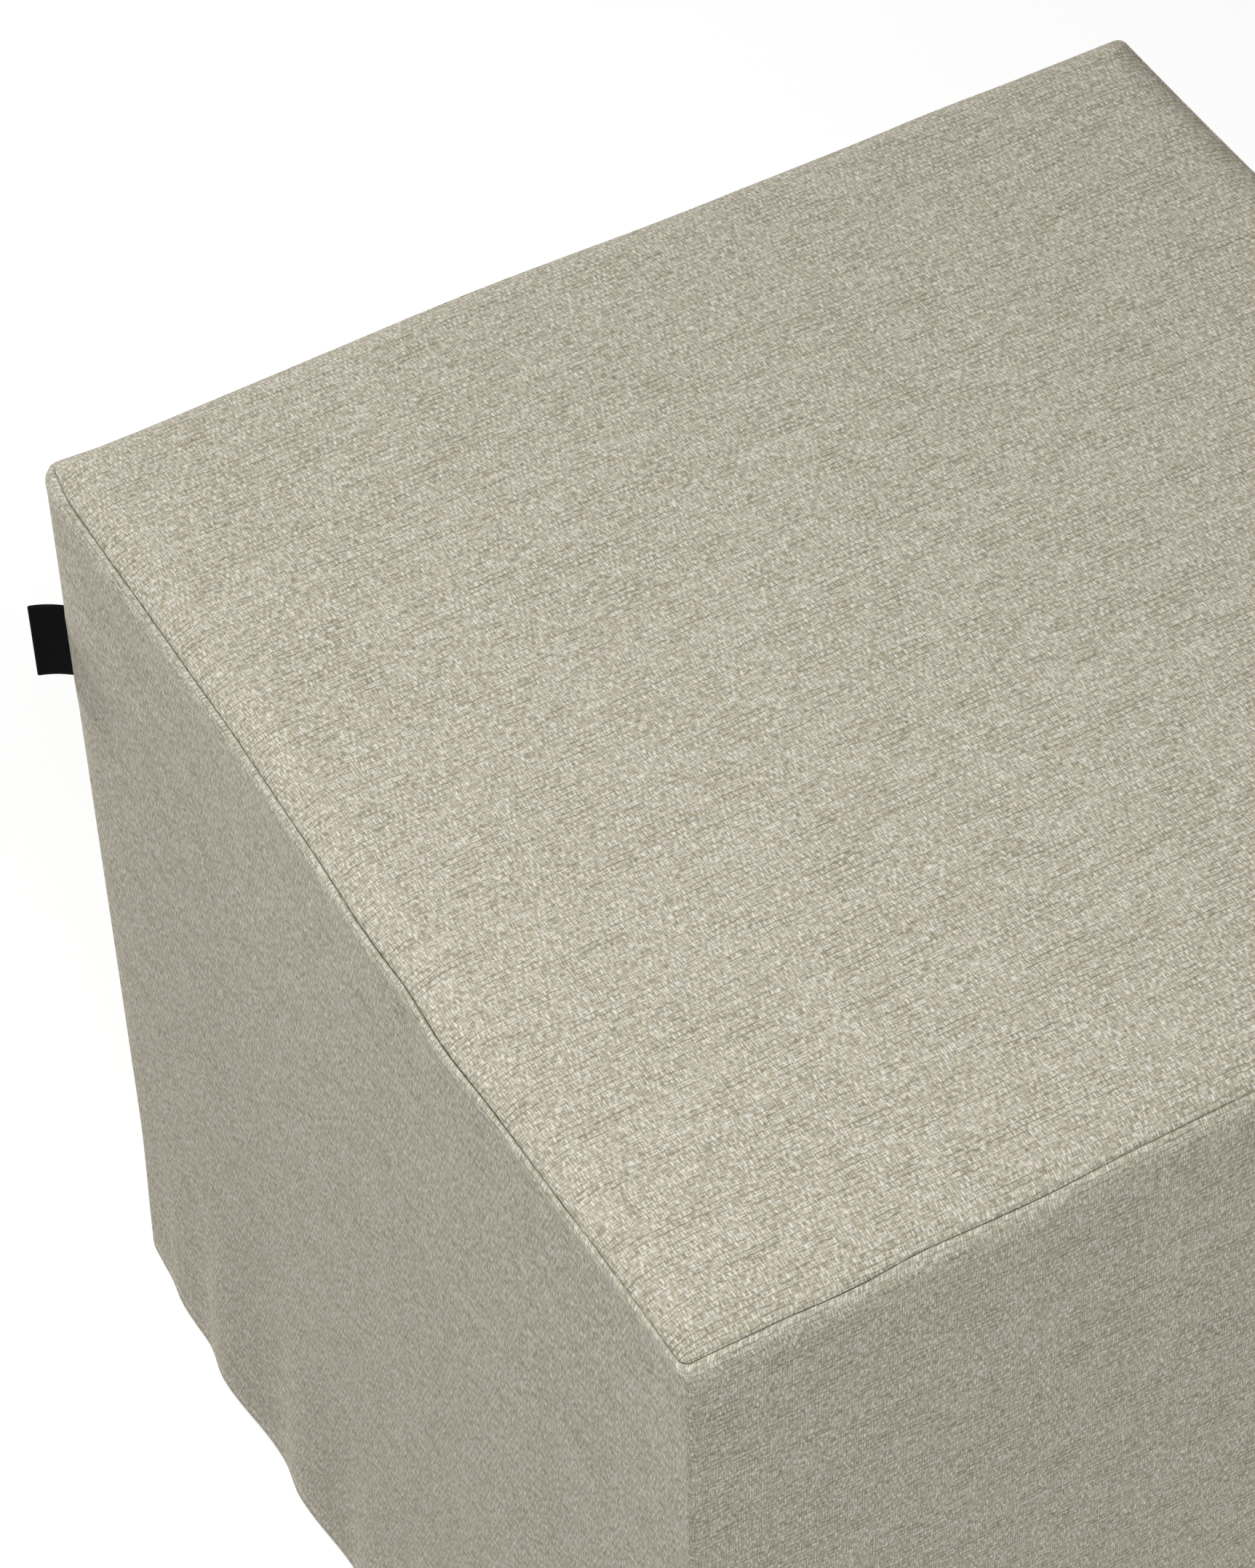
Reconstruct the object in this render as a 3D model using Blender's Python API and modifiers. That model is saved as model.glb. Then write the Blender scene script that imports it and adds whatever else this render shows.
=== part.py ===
"""Cube pouf stool: a firm filled block inside a loose woven cover.

The cover is a top panel and one side band, joined by a seam that runs round the shoulder. The
band closes in an upright seam at the left back corner, and a folded label is caught in it. The
band's lower edge is turned under as a hem. Metres, +Z up, X to the right and Y to the back. The
origin is the middle of the base.
"""

from collections import namedtuple
from math import copysign, cos, hypot, pi, radians, sin

import bmesh
import bpy

# The covered pouf
HALF_WIDTH = 0.200  # from the middle to a side, measured at its corners
TOP_HEIGHT = 0.404  # where the top starts to roll over
CROWN = 0.0025  # what the middle of the top adds to that
SHOULDER_REACH = 0.018  # how far in from the side the roll begins
SHOULDER_DROP = 0.013  # how far down the side it ends
CORNER_RADIUS = 0.0045  # of the upright corners, in plan
CLOSING_RADIUS = 0.012  # of the corner with the closing seam

# The cloth and its seams
CLOTH = 0.002
SEAM_ANGLE = radians(40)  # the shoulder seam's place on the roll: 0 is the side, 90 the top
SEAM_RADIUS = 0.004  # of that seam's corners, in plan
SEAM_GAP = 0.0005
SEAM_LIP = 0.0016  # width of the edge that dips into the seam
SEAM_DIP = 0.0006
HEM_ROLL = 0.004  # radius at which the band turns under
HEM_INSET = 0.009  # how far in the turned edge reaches

# The block: its edges are rounder than the cover's, which clears them by 3 mm
SIDE_ROOM = 0.0018
TOP_ROOM = 0.0006
BLOCK_EDGE = 0.018
BLOCK_EDGE_STEPS = 4
BLOCK_CUTS = 5
SHARP_ANGLE = radians(50)  # a block edge that turns by more than this is rounded

# The label: a ribbon folded double, which leaves the closing seam and leans to the left
LABEL_LAYER = 0.0006
LABEL_SLIT = 0.0003
LABEL_LENGTH = 0.0142  # from its root inside the seam to its fold
LABEL_ROOT = 0.0018  # how deep the root lies under the cloth's face
LABEL_LOW, LABEL_HIGH = 0.3050, 0.3360
LABEL_HEADING = radians(135)  # square to the corner where it leaves the seam
LABEL_TURN = radians(26)  # how far it has turned to the left at its fold
LABEL_ROOM = 0.0006
LABEL_LEG_STEPS, LABEL_FOLD_STEPS, LABEL_HEIGHT_STEPS = 6, 6, 3

# Steps of the cloth's grids
TOP_FLAT_STEPS = 10  # from the middle of the top to the roll
TOP_ROLL_STEPS = 4  # from the roll's start to the seam's lip
BAND_ROLL_STEPS = 3  # from the seam's lip to the side
SIDE_STEPS = 30  # along the straight part of a side
CORNER_STEPS = 3  # from the straight part to the middle of a corner
HEM_TURN_STEPS = 2
BAND_HEIGHTS = (0.365, 0.315, 0.225, 0.140, 0.095, 0.060, 0.030)
WELD = 1e-5  # points nearer than this are one
CUT_DEPTH = 0.036  # of the slots cut across the corner, well through the cloth

CLOTH_COLOUR, CLOTH_ROUGHNESS = (0.50, 0.465, 0.375), 0.95
LINING_COLOUR, LINING_ROUGHNESS = (0.62, 0.60, 0.55), 0.90
LABEL_COLOUR, LABEL_ROUGHNESS = (0.012, 0.012, 0.013), 0.70

# The sides in the order in which the band goes round them, with the radii of their corners
Side = namedtuple("Side", "name out along first_radius last_radius")
SIDES = (
    Side("left", (-1, 0), (0, -1), CLOSING_RADIUS, CORNER_RADIUS),
    Side("front", (0, -1), (1, 0), CORNER_RADIUS, CORNER_RADIUS),
    Side("right", (1, 0), (0, 1), CORNER_RADIUS, CORNER_RADIUS),
    Side("back", (0, 1), (-1, 0), CORNER_RADIUS, CLOSING_RADIUS),
)

# Where the cloth stands out of a side's plane. Centre is the Y of the left and right sides and
# the X of the front and back ones; reach is how far up or down the swell fades out.
BROAD = 0.400  # the reach of the swells that the block has too
LEVELS = {"shoulder": TOP_HEIGHT, "hem": 0.0}
CORNER_EASE = 0.018  # a swell grows to its full height this far from a corner
INWARD_FADE = 4  # the power by which a side's swell fades towards the middle
Swell = namedtuple("Swell", "side level centre half_width height reach")
SWELLS = (
    Swell("left", "shoulder", 0.165, 0.105, 0.0022, BROAD),
    Swell("left", "shoulder", -0.005, 0.165, 0.0024, BROAD),
    Swell("left", "shoulder", -0.105, 0.095, 0.0015, BROAD),
    Swell("left", "shoulder", 0.095, 0.040, 0.0004, 0.060),
    Swell("left", "shoulder", -0.020, 0.034, 0.0010, 0.080),
    Swell("left", "shoulder", -0.068, 0.030, 0.0013, 0.080),
    Swell("left", "hem", 0.120, 0.110, 0.0023, BROAD),
    Swell("left", "hem", -0.040, 0.150, 0.0017, BROAD),
    Swell("left", "hem", 0.172, 0.024, 0.0010, 0.100),
    Swell("left", "hem", 0.118, 0.028, 0.0013, 0.130),
    Swell("left", "hem", 0.068, 0.030, 0.0016, 0.130),
    Swell("left", "hem", 0.016, 0.030, 0.0012, 0.110),
    Swell("left", "hem", -0.044, 0.033, 0.0016, 0.120),
    Swell("left", "hem", -0.101, 0.028, 0.0010, 0.090),
    Swell("left", "hem", -0.152, 0.029, 0.0013, 0.110),
    Swell("front", "shoulder", 0.095, 0.100, 0.0012, BROAD),
    Swell("front", "shoulder", -0.146, 0.024, 0.0008, 0.070),
    Swell("front", "shoulder", -0.119, 0.020, -0.0004, 0.050),
    Swell("front", "shoulder", -0.083, 0.026, 0.0006, 0.070),
    Swell("front", "shoulder", -0.018, 0.078, -0.0009, 0.110),
    Swell("front", "shoulder", 0.074, 0.030, 0.0007, 0.070),
    Swell("front", "shoulder", 0.136, 0.034, 0.0006, 0.060),
    Swell("front", "hem", 0.010, 0.170, 0.0020, BROAD),
    Swell("front", "hem", -0.158, 0.026, 0.0012, 0.110),
    Swell("front", "hem", -0.109, 0.024, 0.0009, 0.090),
    Swell("front", "hem", -0.057, 0.031, 0.0015, 0.130),
    Swell("front", "hem", 0.004, 0.029, 0.0010, 0.100),
    Swell("front", "hem", 0.061, 0.032, 0.0014, 0.120),
    Swell("front", "hem", 0.113, 0.025, 0.0009, 0.080),
    Swell("front", "hem", 0.159, 0.027, 0.0012, 0.100),
    Swell("right", "shoulder", 0.030, 0.150, 0.0018, BROAD),
    Swell("right", "shoulder", -0.120, 0.032, 0.0006, 0.070),
    Swell("right", "shoulder", -0.046, 0.028, 0.0007, 0.060),
    Swell("right", "shoulder", 0.088, 0.036, 0.0008, 0.080),
    Swell("right", "hem", -0.020, 0.170, 0.0021, BROAD),
    Swell("right", "hem", -0.149, 0.027, 0.0012, 0.110),
    Swell("right", "hem", -0.095, 0.029, 0.0011, 0.100),
    Swell("right", "hem", -0.033, 0.032, 0.0015, 0.130),
    Swell("right", "hem", 0.027, 0.027, 0.0009, 0.090),
    Swell("right", "hem", 0.082, 0.030, 0.0013, 0.120),
    Swell("right", "hem", 0.141, 0.030, 0.0012, 0.100),
    Swell("back", "shoulder", -0.048, 0.085, 0.0017, BROAD),
    Swell("back", "shoulder", -0.172, 0.055, -0.0010, 0.120),
    Swell("back", "shoulder", 0.124, 0.034, 0.0005, 0.060),
    Swell("back", "hem", 0.000, 0.170, 0.0019, BROAD),
    Swell("back", "hem", -0.147, 0.029, 0.0012, 0.110),
    Swell("back", "hem", -0.088, 0.030, 0.0014, 0.120),
    Swell("back", "hem", -0.031, 0.027, 0.0009, 0.090),
    Swell("back", "hem", 0.029, 0.032, 0.0014, 0.130),
    Swell("back", "hem", 0.090, 0.028, 0.0010, 0.100),
    Swell("back", "hem", 0.145, 0.029, 0.0012, 0.110),
)

# One ring of the cloth: its half width and height, its corner radius as at the shoulder seam, and
# how much of the way it has gone from that to the side's own radii. Flat is the top panel's: how
# far from its middle the ring lies when the panel is laid out.
Ring = namedtuple("Ring", "half height radius opened flat", defaults=(1.0, 0.0))


def bump(share):
    """A smooth hill: 1 at 0, and 0 from 1 on."""
    return cos(share * pi / 2) ** 2 if abs(share) < 1 else 0.0


def ease(share):
    """A smooth step from 0 to 1."""
    share = min(max(share, 0.0), 1.0)
    return share * share * (3 - 2 * share)


def swelling(side, place, height, to_corner, least_reach=0.0):
    """How far the cloth stands out of a side there, which is nothing at its corners."""
    total = 0.0
    for row in SWELLS:
        if row.side == side.name and row.reach >= least_reach:
            across = bump((place - row.centre) / row.half_width)
            total += row.height * across * bump((height - LEVELS[row.level]) / row.reach)
    return total * ease(to_corner / CORNER_EASE)


def rounded_side(side, fraction, ring):
    """(out, along) of a point on one side of a rounded square, corner middle to corner middle."""
    half = ring.half
    own_radius = side.first_radius if fraction < 0 else side.last_radius
    radius = ring.radius + ring.opened * (own_radius - SEAM_RADIUS)
    straight = half - radius
    reach = abs(fraction) * half
    if reach <= straight:
        return half, copysign(reach, fraction)
    turn = radians(45) * (reach - straight) / radius
    return straight + radius * cos(turn), copysign(straight + radius * sin(turn), fraction)


def on_side(side, fraction, ring, share=1.0):
    """The point of a ring at a fraction of a side, with a share of the cloth's swell."""
    out, along = rounded_side(side, fraction, ring)
    place = along * (side.along[0] + side.along[1])
    out += share * swelling(side, place, ring.height, (1 - abs(fraction)) * ring.half)
    x, y = (side.out[i] * out + side.along[i] * along for i in (0, 1))
    return x, y, ring.height


def crown(x, y):
    """The top's rise towards its middle, level again where the roll starts."""
    edge = HALF_WIDTH - SHOULDER_REACH
    across, deep = (max(1 - (value / edge) ** 2, 0.0) for value in (x, y))
    return CROWN * (across * deep) ** 1.5


def roll_ring(angle, dip=0.0):
    """A ring on the shoulder's roll, 0 at the side and 90 degrees at the top, sunk by dip."""
    out, up = cos(angle) / SHOULDER_REACH, sin(angle) / SHOULDER_DROP
    length = hypot(out, up)
    half = HALF_WIDTH - SHOULDER_REACH * (1 - cos(angle)) - dip * out / length
    height = TOP_HEIGHT - SHOULDER_DROP * (1 - sin(angle)) - dip * up / length
    return Ring(half, height, SEAM_RADIUS, opened=max(1 - angle / SEAM_ANGLE, 0.0))


def angle_of(length):
    """The angle that a short length takes on the roll at the seam."""
    return length / hypot(SHOULDER_REACH * sin(SEAM_ANGLE), SHOULDER_DROP * cos(SEAM_ANGLE))


def top_rings():
    """The top panel's rings from its middle to the shoulder seam."""
    flat_half = HALF_WIDTH - SHOULDER_REACH
    rings = []
    for step in range(TOP_FLAT_STEPS):
        half = flat_half * step / TOP_FLAT_STEPS
        radius = SEAM_RADIUS * (half / HALF_WIDTH) ** 2
        rings.append(Ring(half, TOP_HEIGHT, radius, opened=0.0, flat=half))
    edge = SEAM_ANGLE + angle_of(SEAM_GAP / 2)
    lip = edge + angle_of(SEAM_LIP)
    down = (lip - radians(90)) / TOP_ROLL_STEPS
    stops = [(radians(90) + down * step, 0.0) for step in range(TOP_ROLL_STEPS + 1)]
    for angle, dip in [*stops, (edge, SEAM_DIP)]:
        ring, last = roll_ring(angle, dip), rings[-1]
        step_length = hypot(ring.half - last.half, ring.height - last.height)
        rings.append(ring._replace(flat=last.flat + step_length))
    return rings


def band_rings():
    """The side band's rings from the shoulder seam to the end of its hem."""
    edge = SEAM_ANGLE - angle_of(SEAM_GAP / 2)
    lip = edge - angle_of(SEAM_LIP)
    rings = [roll_ring(edge, SEAM_DIP)]
    rings += [roll_ring(lip * (1 - step / BAND_ROLL_STEPS)) for step in range(BAND_ROLL_STEPS + 1)]
    rings += [Ring(HALF_WIDTH, height, SEAM_RADIUS) for height in BAND_HEIGHTS]
    for step in range(HEM_TURN_STEPS + 1):
        turn = radians(90) * step / HEM_TURN_STEPS
        inset, height = HEM_ROLL * (1 - cos(turn)), HEM_ROLL * (1 - sin(turn))
        rings.append(Ring(HALF_WIDTH - inset, height, SEAM_RADIUS))
    rings.append(Ring(HALF_WIDTH - HEM_INSET, 0.0, SEAM_RADIUS))
    return rings


def side_fractions(side):
    """Places along a side, from the middle of one corner to just short of the next one's."""
    first, last = side.first_radius / HALF_WIDTH, side.last_radius / HALF_WIDTH
    run = 2 - first - last
    fractions = [first * step / CORNER_STEPS - 1 for step in range(CORNER_STEPS)]
    fractions += [first - 1 + run * step / SIDE_STEPS for step in range(SIDE_STEPS)]
    return fractions + [1 - last * (1 - step / CORNER_STEPS) for step in range(CORNER_STEPS)]


def new_object(name, bm, collection, colour, roughness):
    """A finished mesh as a named object in its own plain material."""
    bmesh.ops.recalc_face_normals(bm, faces=bm.faces)
    mesh = bpy.data.meshes.new(name)
    bm.to_mesh(mesh)
    bm.free()
    mesh.shade_smooth()
    material = bpy.data.materials.new(name)
    material.use_nodes = True
    shader = material.node_tree.nodes["Principled BSDF"]
    shader.inputs["Base Color"].default_value = (*colour, 1.0)
    shader.inputs["Roughness"].default_value = roughness
    mesh.materials.append(material)
    piece = bpy.data.objects.new(name, mesh)
    collection.objects.link(piece)
    return piece


def thicken(piece, thickness, offset):
    """Gives an open sheet its thickness; offset -1 keeps the sheet as the outer face."""
    solidify = piece.modifiers.new("Cloth", "SOLIDIFY")
    solidify.thickness = thickness
    solidify.offset = offset
    solidify.use_even_offset = True
    solidify.use_quality_normals = True


def face_outwards(piece):
    """Turns an open sheet round where its first face looks towards the pouf's middle."""
    face = piece.data.polygons[0]
    middle = (0.0, 0.0, TOP_HEIGHT / 2)
    if face.normal.dot(face.center) < face.normal.dot(middle):
        piece.data.flip_normals()


def make_top_panel(collection):
    """A flat grid laid over the top: each square ring of it goes to one ring of the roll."""
    rings = top_rings()
    last = len(rings) - 1
    bm = bmesh.new()
    bmesh.ops.create_grid(bm, x_segments=2 * last, y_segments=2 * last, size=1.0)
    for vertex in bm.verts:
        column, row = (round(value * last) for value in vertex.co.xy)
        index = max(abs(column), abs(row))
        ring = rings[index]
        if index == 0:
            vertex.co = (0.0, 0.0, TOP_HEIGHT + crown(0.0, 0.0))
            continue
        side = next(s for s in SIDES if column * s.out[0] + row * s.out[1] == index)
        step = column * side.along[0] + row * side.along[1]
        fraction = copysign(rings[abs(step)].flat / ring.flat, step)
        x, y, height = on_side(side, fraction, ring, (ring.half / HALF_WIDTH) ** INWARD_FADE)
        vertex.co = (x, y, height + crown(x, y))
    panel = new_object("top_panel", bm, collection, CLOTH_COLOUR, CLOTH_ROUGHNESS)
    face_outwards(panel)
    thicken(panel, CLOTH, -1)
    return panel


def make_side_band(collection, cutters):
    """A strip wrapped round the four sides and welded, then cut open at its closing seam."""
    rings = band_rings()
    places = [(side, fraction) for side in SIDES for fraction in side_fractions(side)]
    places.append((SIDES[-1], 1.0))
    columns, rows = len(places) - 1, len(rings) - 1
    bm = bmesh.new()
    bmesh.ops.create_grid(bm, x_segments=columns, y_segments=rows, size=0.5)
    for vertex in bm.verts:
        column, row = round((vertex.co.x + 0.5) * columns), round((0.5 - vertex.co.y) * rows)
        vertex.co = on_side(*places[column], rings[row])
    bmesh.ops.remove_doubles(bm, verts=bm.verts, dist=WELD)
    band = new_object("side_band", bm, collection, CLOTH_COLOUR, CLOTH_ROUGHNESS)
    face_outwards(band)
    thicken(band, CLOTH, -1)
    for cutter in cutters:
        cut = band.modifiers.new(cutter.name, "BOOLEAN")
        cut.operation = "DIFFERENCE"
        cut.object = cutter
    return band


def corner_point(depth, height):
    """A point at the left back corner, a depth under the band's face."""
    out = HALF_WIDTH - CLOSING_RADIUS + (CLOSING_RADIUS - depth) * sin(radians(45))
    return -out, out, height


def make_corner_cutter(name, collection, width, low, high):
    """An upright slot across the band's cloth at the left back corner."""
    bm = bmesh.new()
    bmesh.ops.create_cube(bm, size=1.0)
    bmesh.ops.scale(bm, verts=bm.verts, vec=(CUT_DEPTH, width, high - low))
    mesh = bpy.data.meshes.new(name)
    bm.to_mesh(mesh)
    bm.free()
    cutter = bpy.data.objects.new(name, mesh)
    cutter.location = corner_point(0.0, (low + high) / 2)
    cutter.rotation_euler.z = LABEL_HEADING
    cutter.hide_render = True
    cutter.display_type = "WIRE"
    collection.objects.link(cutter)
    return cutter


def make_filled_block(collection):
    """A cube with a grid on each face, bowed and crowned like the cover, its edges rounded."""
    half = HALF_WIDTH - CLOTH - SIDE_ROOM
    top = TOP_HEIGHT - CLOTH - TOP_ROOM
    bm = bmesh.new()
    bmesh.ops.create_cube(bm, size=2.0)
    bmesh.ops.subdivide_edges(bm, edges=bm.edges, cuts=BLOCK_CUTS, use_grid_fill=True)
    for vertex in bm.verts:
        share = vertex.co.copy()
        x, y, height = share.x * half, share.y * half, (share.z + 1) / 2 * top
        for side in SIDES:
            out = share.x * side.out[0] + share.y * side.out[1]
            if out > 0:
                place = x * abs(side.along[0]) + y * abs(side.along[1])
                bow = swelling(side, place, height, half - abs(place), least_reach=BROAD)
                bow *= out**INWARD_FADE
                x, y = x + side.out[0] * bow, y + side.out[1] * bow
        on_top = height > top - WELD
        vertex.co = (x, y, height + (crown(x, y) if on_top else 0.0))
    block = new_object("filled_block", bm, collection, LINING_COLOUR, LINING_ROUGHNESS)
    bevel = block.modifiers.new("Edges", "BEVEL")
    bevel.width = BLOCK_EDGE
    bevel.segments = BLOCK_EDGE_STEPS
    bevel.limit_method = "ANGLE"
    bevel.angle_limit = SHARP_ANGLE
    return block


def make_folded_label(collection):
    """A ribbon led out of the seam on a gentle turn, round a tight fold and back again."""
    spread = (LABEL_LAYER + LABEL_SLIT) / 2
    stride = LABEL_LENGTH / LABEL_LEG_STEPS
    x, y, _ = corner_point(LABEL_ROOT, 0.0)
    heading = LABEL_HEADING
    middle = [(x, y, heading)]
    for _ in range(LABEL_LEG_STEPS):
        heading += LABEL_TURN / LABEL_LEG_STEPS
        x, y = x + cos(heading) * stride, y + sin(heading) * stride
        middle.append((x, y, heading))
    path = [(px - sin(h) * spread, py + cos(h) * spread) for px, py, h in middle]
    for step in range(1, LABEL_FOLD_STEPS):
        turn = heading + radians(90) - radians(180) * step / LABEL_FOLD_STEPS
        path.append((x + cos(turn) * spread, y + sin(turn) * spread))
    path += [(px + sin(h) * spread, py - cos(h) * spread) for px, py, h in reversed(middle)]
    columns = len(path) - 1
    bm = bmesh.new()
    bmesh.ops.create_grid(bm, x_segments=columns, y_segments=LABEL_HEIGHT_STEPS, size=0.5)
    for vertex in bm.verts:
        height = LABEL_LOW + (vertex.co.y + 0.5) * (LABEL_HIGH - LABEL_LOW)
        vertex.co = (*path[round((vertex.co.x + 0.5) * columns)], height)
    label = new_object("folded_label", bm, collection, LABEL_COLOUR, LABEL_ROUGHNESS)
    thicken(label, LABEL_LAYER, 0)
    return label


def main():
    for item in list(bpy.data.objects):
        bpy.data.objects.remove(item, do_unlink=True)
    parts = bpy.data.collections.new("cube_pouf_stool")
    helpers = bpy.data.collections.new("cutters")
    for collection in (parts, helpers):
        bpy.context.scene.collection.children.link(collection)
    slot_width = 2 * LABEL_LAYER + LABEL_SLIT + 2 * LABEL_ROOM
    slot_low, slot_high = LABEL_LOW - LABEL_ROOM, LABEL_HIGH + LABEL_ROOM
    cutters = (
        make_corner_cutter("closing_seam", helpers, SEAM_GAP, -HEM_ROLL, TOP_HEIGHT + HEM_ROLL),
        make_corner_cutter("label_slot", helpers, slot_width, slot_low, slot_high),
    )
    make_filled_block(parts)
    make_top_panel(parts)
    make_side_band(parts, cutters)
    make_folded_label(parts)


main()
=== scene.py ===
"""The looks of a cube pouf stool: the woven cover, the block in it, its label and a plain studio.

Metres, +Z up. The cover's forms are worked out on grids, as its solids are, in finer steps and
with small forms that the solids don't have, and then get their thickness and their cloth.
"""

import logging
from dataclasses import dataclass
from enum import Enum
from math import cos, hypot, radians, sin
from typing import NamedTuple

import bmesh
import bpy
import numpy as np
from mathutils import Matrix, Vector


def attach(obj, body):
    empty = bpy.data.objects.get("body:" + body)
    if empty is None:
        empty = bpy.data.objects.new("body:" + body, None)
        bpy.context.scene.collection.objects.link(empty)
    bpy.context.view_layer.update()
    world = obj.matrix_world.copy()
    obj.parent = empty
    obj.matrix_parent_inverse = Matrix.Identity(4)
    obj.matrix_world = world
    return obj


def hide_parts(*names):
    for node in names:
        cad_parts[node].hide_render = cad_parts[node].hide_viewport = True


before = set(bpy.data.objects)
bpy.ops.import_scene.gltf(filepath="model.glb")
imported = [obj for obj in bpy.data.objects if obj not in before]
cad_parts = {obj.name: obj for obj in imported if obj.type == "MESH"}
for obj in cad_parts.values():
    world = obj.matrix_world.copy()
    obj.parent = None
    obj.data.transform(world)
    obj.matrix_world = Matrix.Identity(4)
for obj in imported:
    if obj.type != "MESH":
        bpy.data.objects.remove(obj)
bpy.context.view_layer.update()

Array = np.ndarray
Colour = tuple[float, float, float]
Place = tuple[float, float, float]
Socket = bpy.types.NodeSocket
Source = Socket | float

BODY = "root"
PHOTO_SIZE = (1725, 2156)
log = logging.getLogger("pouf")


# ---------------------------------------------------------------- the cover's form


class Side(Enum):
    """The four sides: each one's way out, and the way that the band is walked along it."""

    LEFT = ((-1, 0), (0, -1))
    FRONT = ((0, -1), (1, 0))
    RIGHT = ((1, 0), (0, 1))
    BACK = ((0, 1), (-1, 0))

    @property
    def out(self) -> tuple[int, int]:
        """The side's outward direction in plan."""
        return self.value[0]

    @property
    def along(self) -> tuple[int, int]:
        """The direction in which the band is walked along the side."""
        return self.value[1]

    @property
    def closing_end(self) -> int:
        """-1 or 1 where the side starts or ends at the corner with the closing seam, and else 0."""
        return {Side.LEFT: -1, Side.BACK: 1}.get(self, 0)


class Level(Enum):
    """The heights from which a swell fades out."""

    SHOULDER = 0.404
    HEM = 0.0


class Swell(NamedTuple):
    """Where the cloth stands out of a side's plane.

    Centre is a Y on the left and right sides and an X on the others; reach is how far up or down
    the swell fades out, and steeper is how much narrower its flank towards + is than the other.
    """

    centre: float
    half_width: float
    height: float
    reach: float
    steeper: float = 0.0


# The reach of the broad swells, which run over a side's whole height
BROAD = 0.400
# Placed from the photo on the left side and on the near part of the front, and guessed elsewhere
SWELLS = {
    (Side.LEFT, Level.SHOULDER): (
        Swell(0.165, 0.105, 0.0022, BROAD),
        Swell(-0.005, 0.165, 0.0024, BROAD),
        Swell(-0.105, 0.095, 0.0015, BROAD),
        Swell(0.095, 0.040, 0.0004, 0.060),
        Swell(-0.020, 0.034, 0.0010, 0.080),
        Swell(-0.068, 0.030, 0.0013, 0.080),
    ),
    (Side.LEFT, Level.HEM): (
        Swell(0.120, 0.110, 0.0018, BROAD),
        Swell(-0.040, 0.150, 0.0017, BROAD),
        Swell(0.164, 0.022, 0.0015, 0.110, 0.3),
        Swell(0.127, 0.028, 0.0029, 0.140, 0.3),
        Swell(0.068, 0.028, 0.0027, 0.140, 0.3),
        Swell(0.016, 0.028, 0.0018, 0.120, 0.3),
        Swell(-0.044, 0.033, 0.0016, 0.120),
        Swell(-0.101, 0.028, 0.0010, 0.090),
        Swell(-0.152, 0.029, 0.0013, 0.110),
    ),
    (Side.FRONT, Level.SHOULDER): (
        Swell(0.095, 0.100, 0.0012, BROAD),
        Swell(-0.146, 0.024, 0.0008, 0.070),
        Swell(-0.119, 0.020, -0.0004, 0.050),
        Swell(-0.083, 0.026, 0.0006, 0.070),
        Swell(-0.018, 0.078, -0.0009, 0.110),
        Swell(0.074, 0.030, 0.0007, 0.070),
        Swell(0.136, 0.034, 0.0006, 0.060),
    ),
    (Side.FRONT, Level.HEM): (
        Swell(0.010, 0.170, 0.0020, BROAD),
        Swell(-0.158, 0.026, 0.0012, 0.110),
        Swell(-0.109, 0.024, 0.0009, 0.090),
        Swell(-0.057, 0.031, 0.0015, 0.130),
        Swell(0.004, 0.029, 0.0010, 0.100),
        Swell(0.061, 0.032, 0.0014, 0.120),
        Swell(0.113, 0.025, 0.0009, 0.080),
        Swell(0.159, 0.027, 0.0012, 0.100),
    ),
    (Side.RIGHT, Level.SHOULDER): (
        Swell(0.030, 0.150, 0.0018, BROAD),
        Swell(-0.120, 0.032, 0.0006, 0.070),
        Swell(-0.046, 0.028, 0.0007, 0.060),
        Swell(0.088, 0.036, 0.0008, 0.080),
    ),
    (Side.RIGHT, Level.HEM): (
        Swell(-0.020, 0.170, 0.0021, BROAD),
        Swell(-0.149, 0.027, 0.0012, 0.110),
        Swell(-0.095, 0.029, 0.0011, 0.100),
        Swell(-0.033, 0.032, 0.0015, 0.130),
        Swell(0.027, 0.027, 0.0009, 0.090),
        Swell(0.082, 0.030, 0.0013, 0.120),
        Swell(0.141, 0.030, 0.0012, 0.100),
    ),
    (Side.BACK, Level.SHOULDER): (
        Swell(-0.048, 0.085, 0.0017, BROAD),
        Swell(-0.172, 0.055, -0.0010, 0.120),
        Swell(0.124, 0.034, 0.0005, 0.060),
    ),
    (Side.BACK, Level.HEM): (
        Swell(0.000, 0.170, 0.0019, BROAD),
        Swell(-0.147, 0.029, 0.0012, 0.110),
        Swell(-0.088, 0.030, 0.0014, 0.120),
        Swell(-0.031, 0.027, 0.0009, 0.090),
        Swell(0.029, 0.032, 0.0014, 0.130),
        Swell(0.090, 0.028, 0.0010, 0.100),
        Swell(0.145, 0.029, 0.0012, 0.110),
    ),
}


class Crease(NamedTuple):
    """A soft ridge, or below 0 a trough, from one place and height on a side to another.

    Strongest is the share of its length at which it has its full height.
    """

    first: tuple[float, float]
    last: tuple[float, float]
    half_width: float
    height: float
    strongest: float


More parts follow.
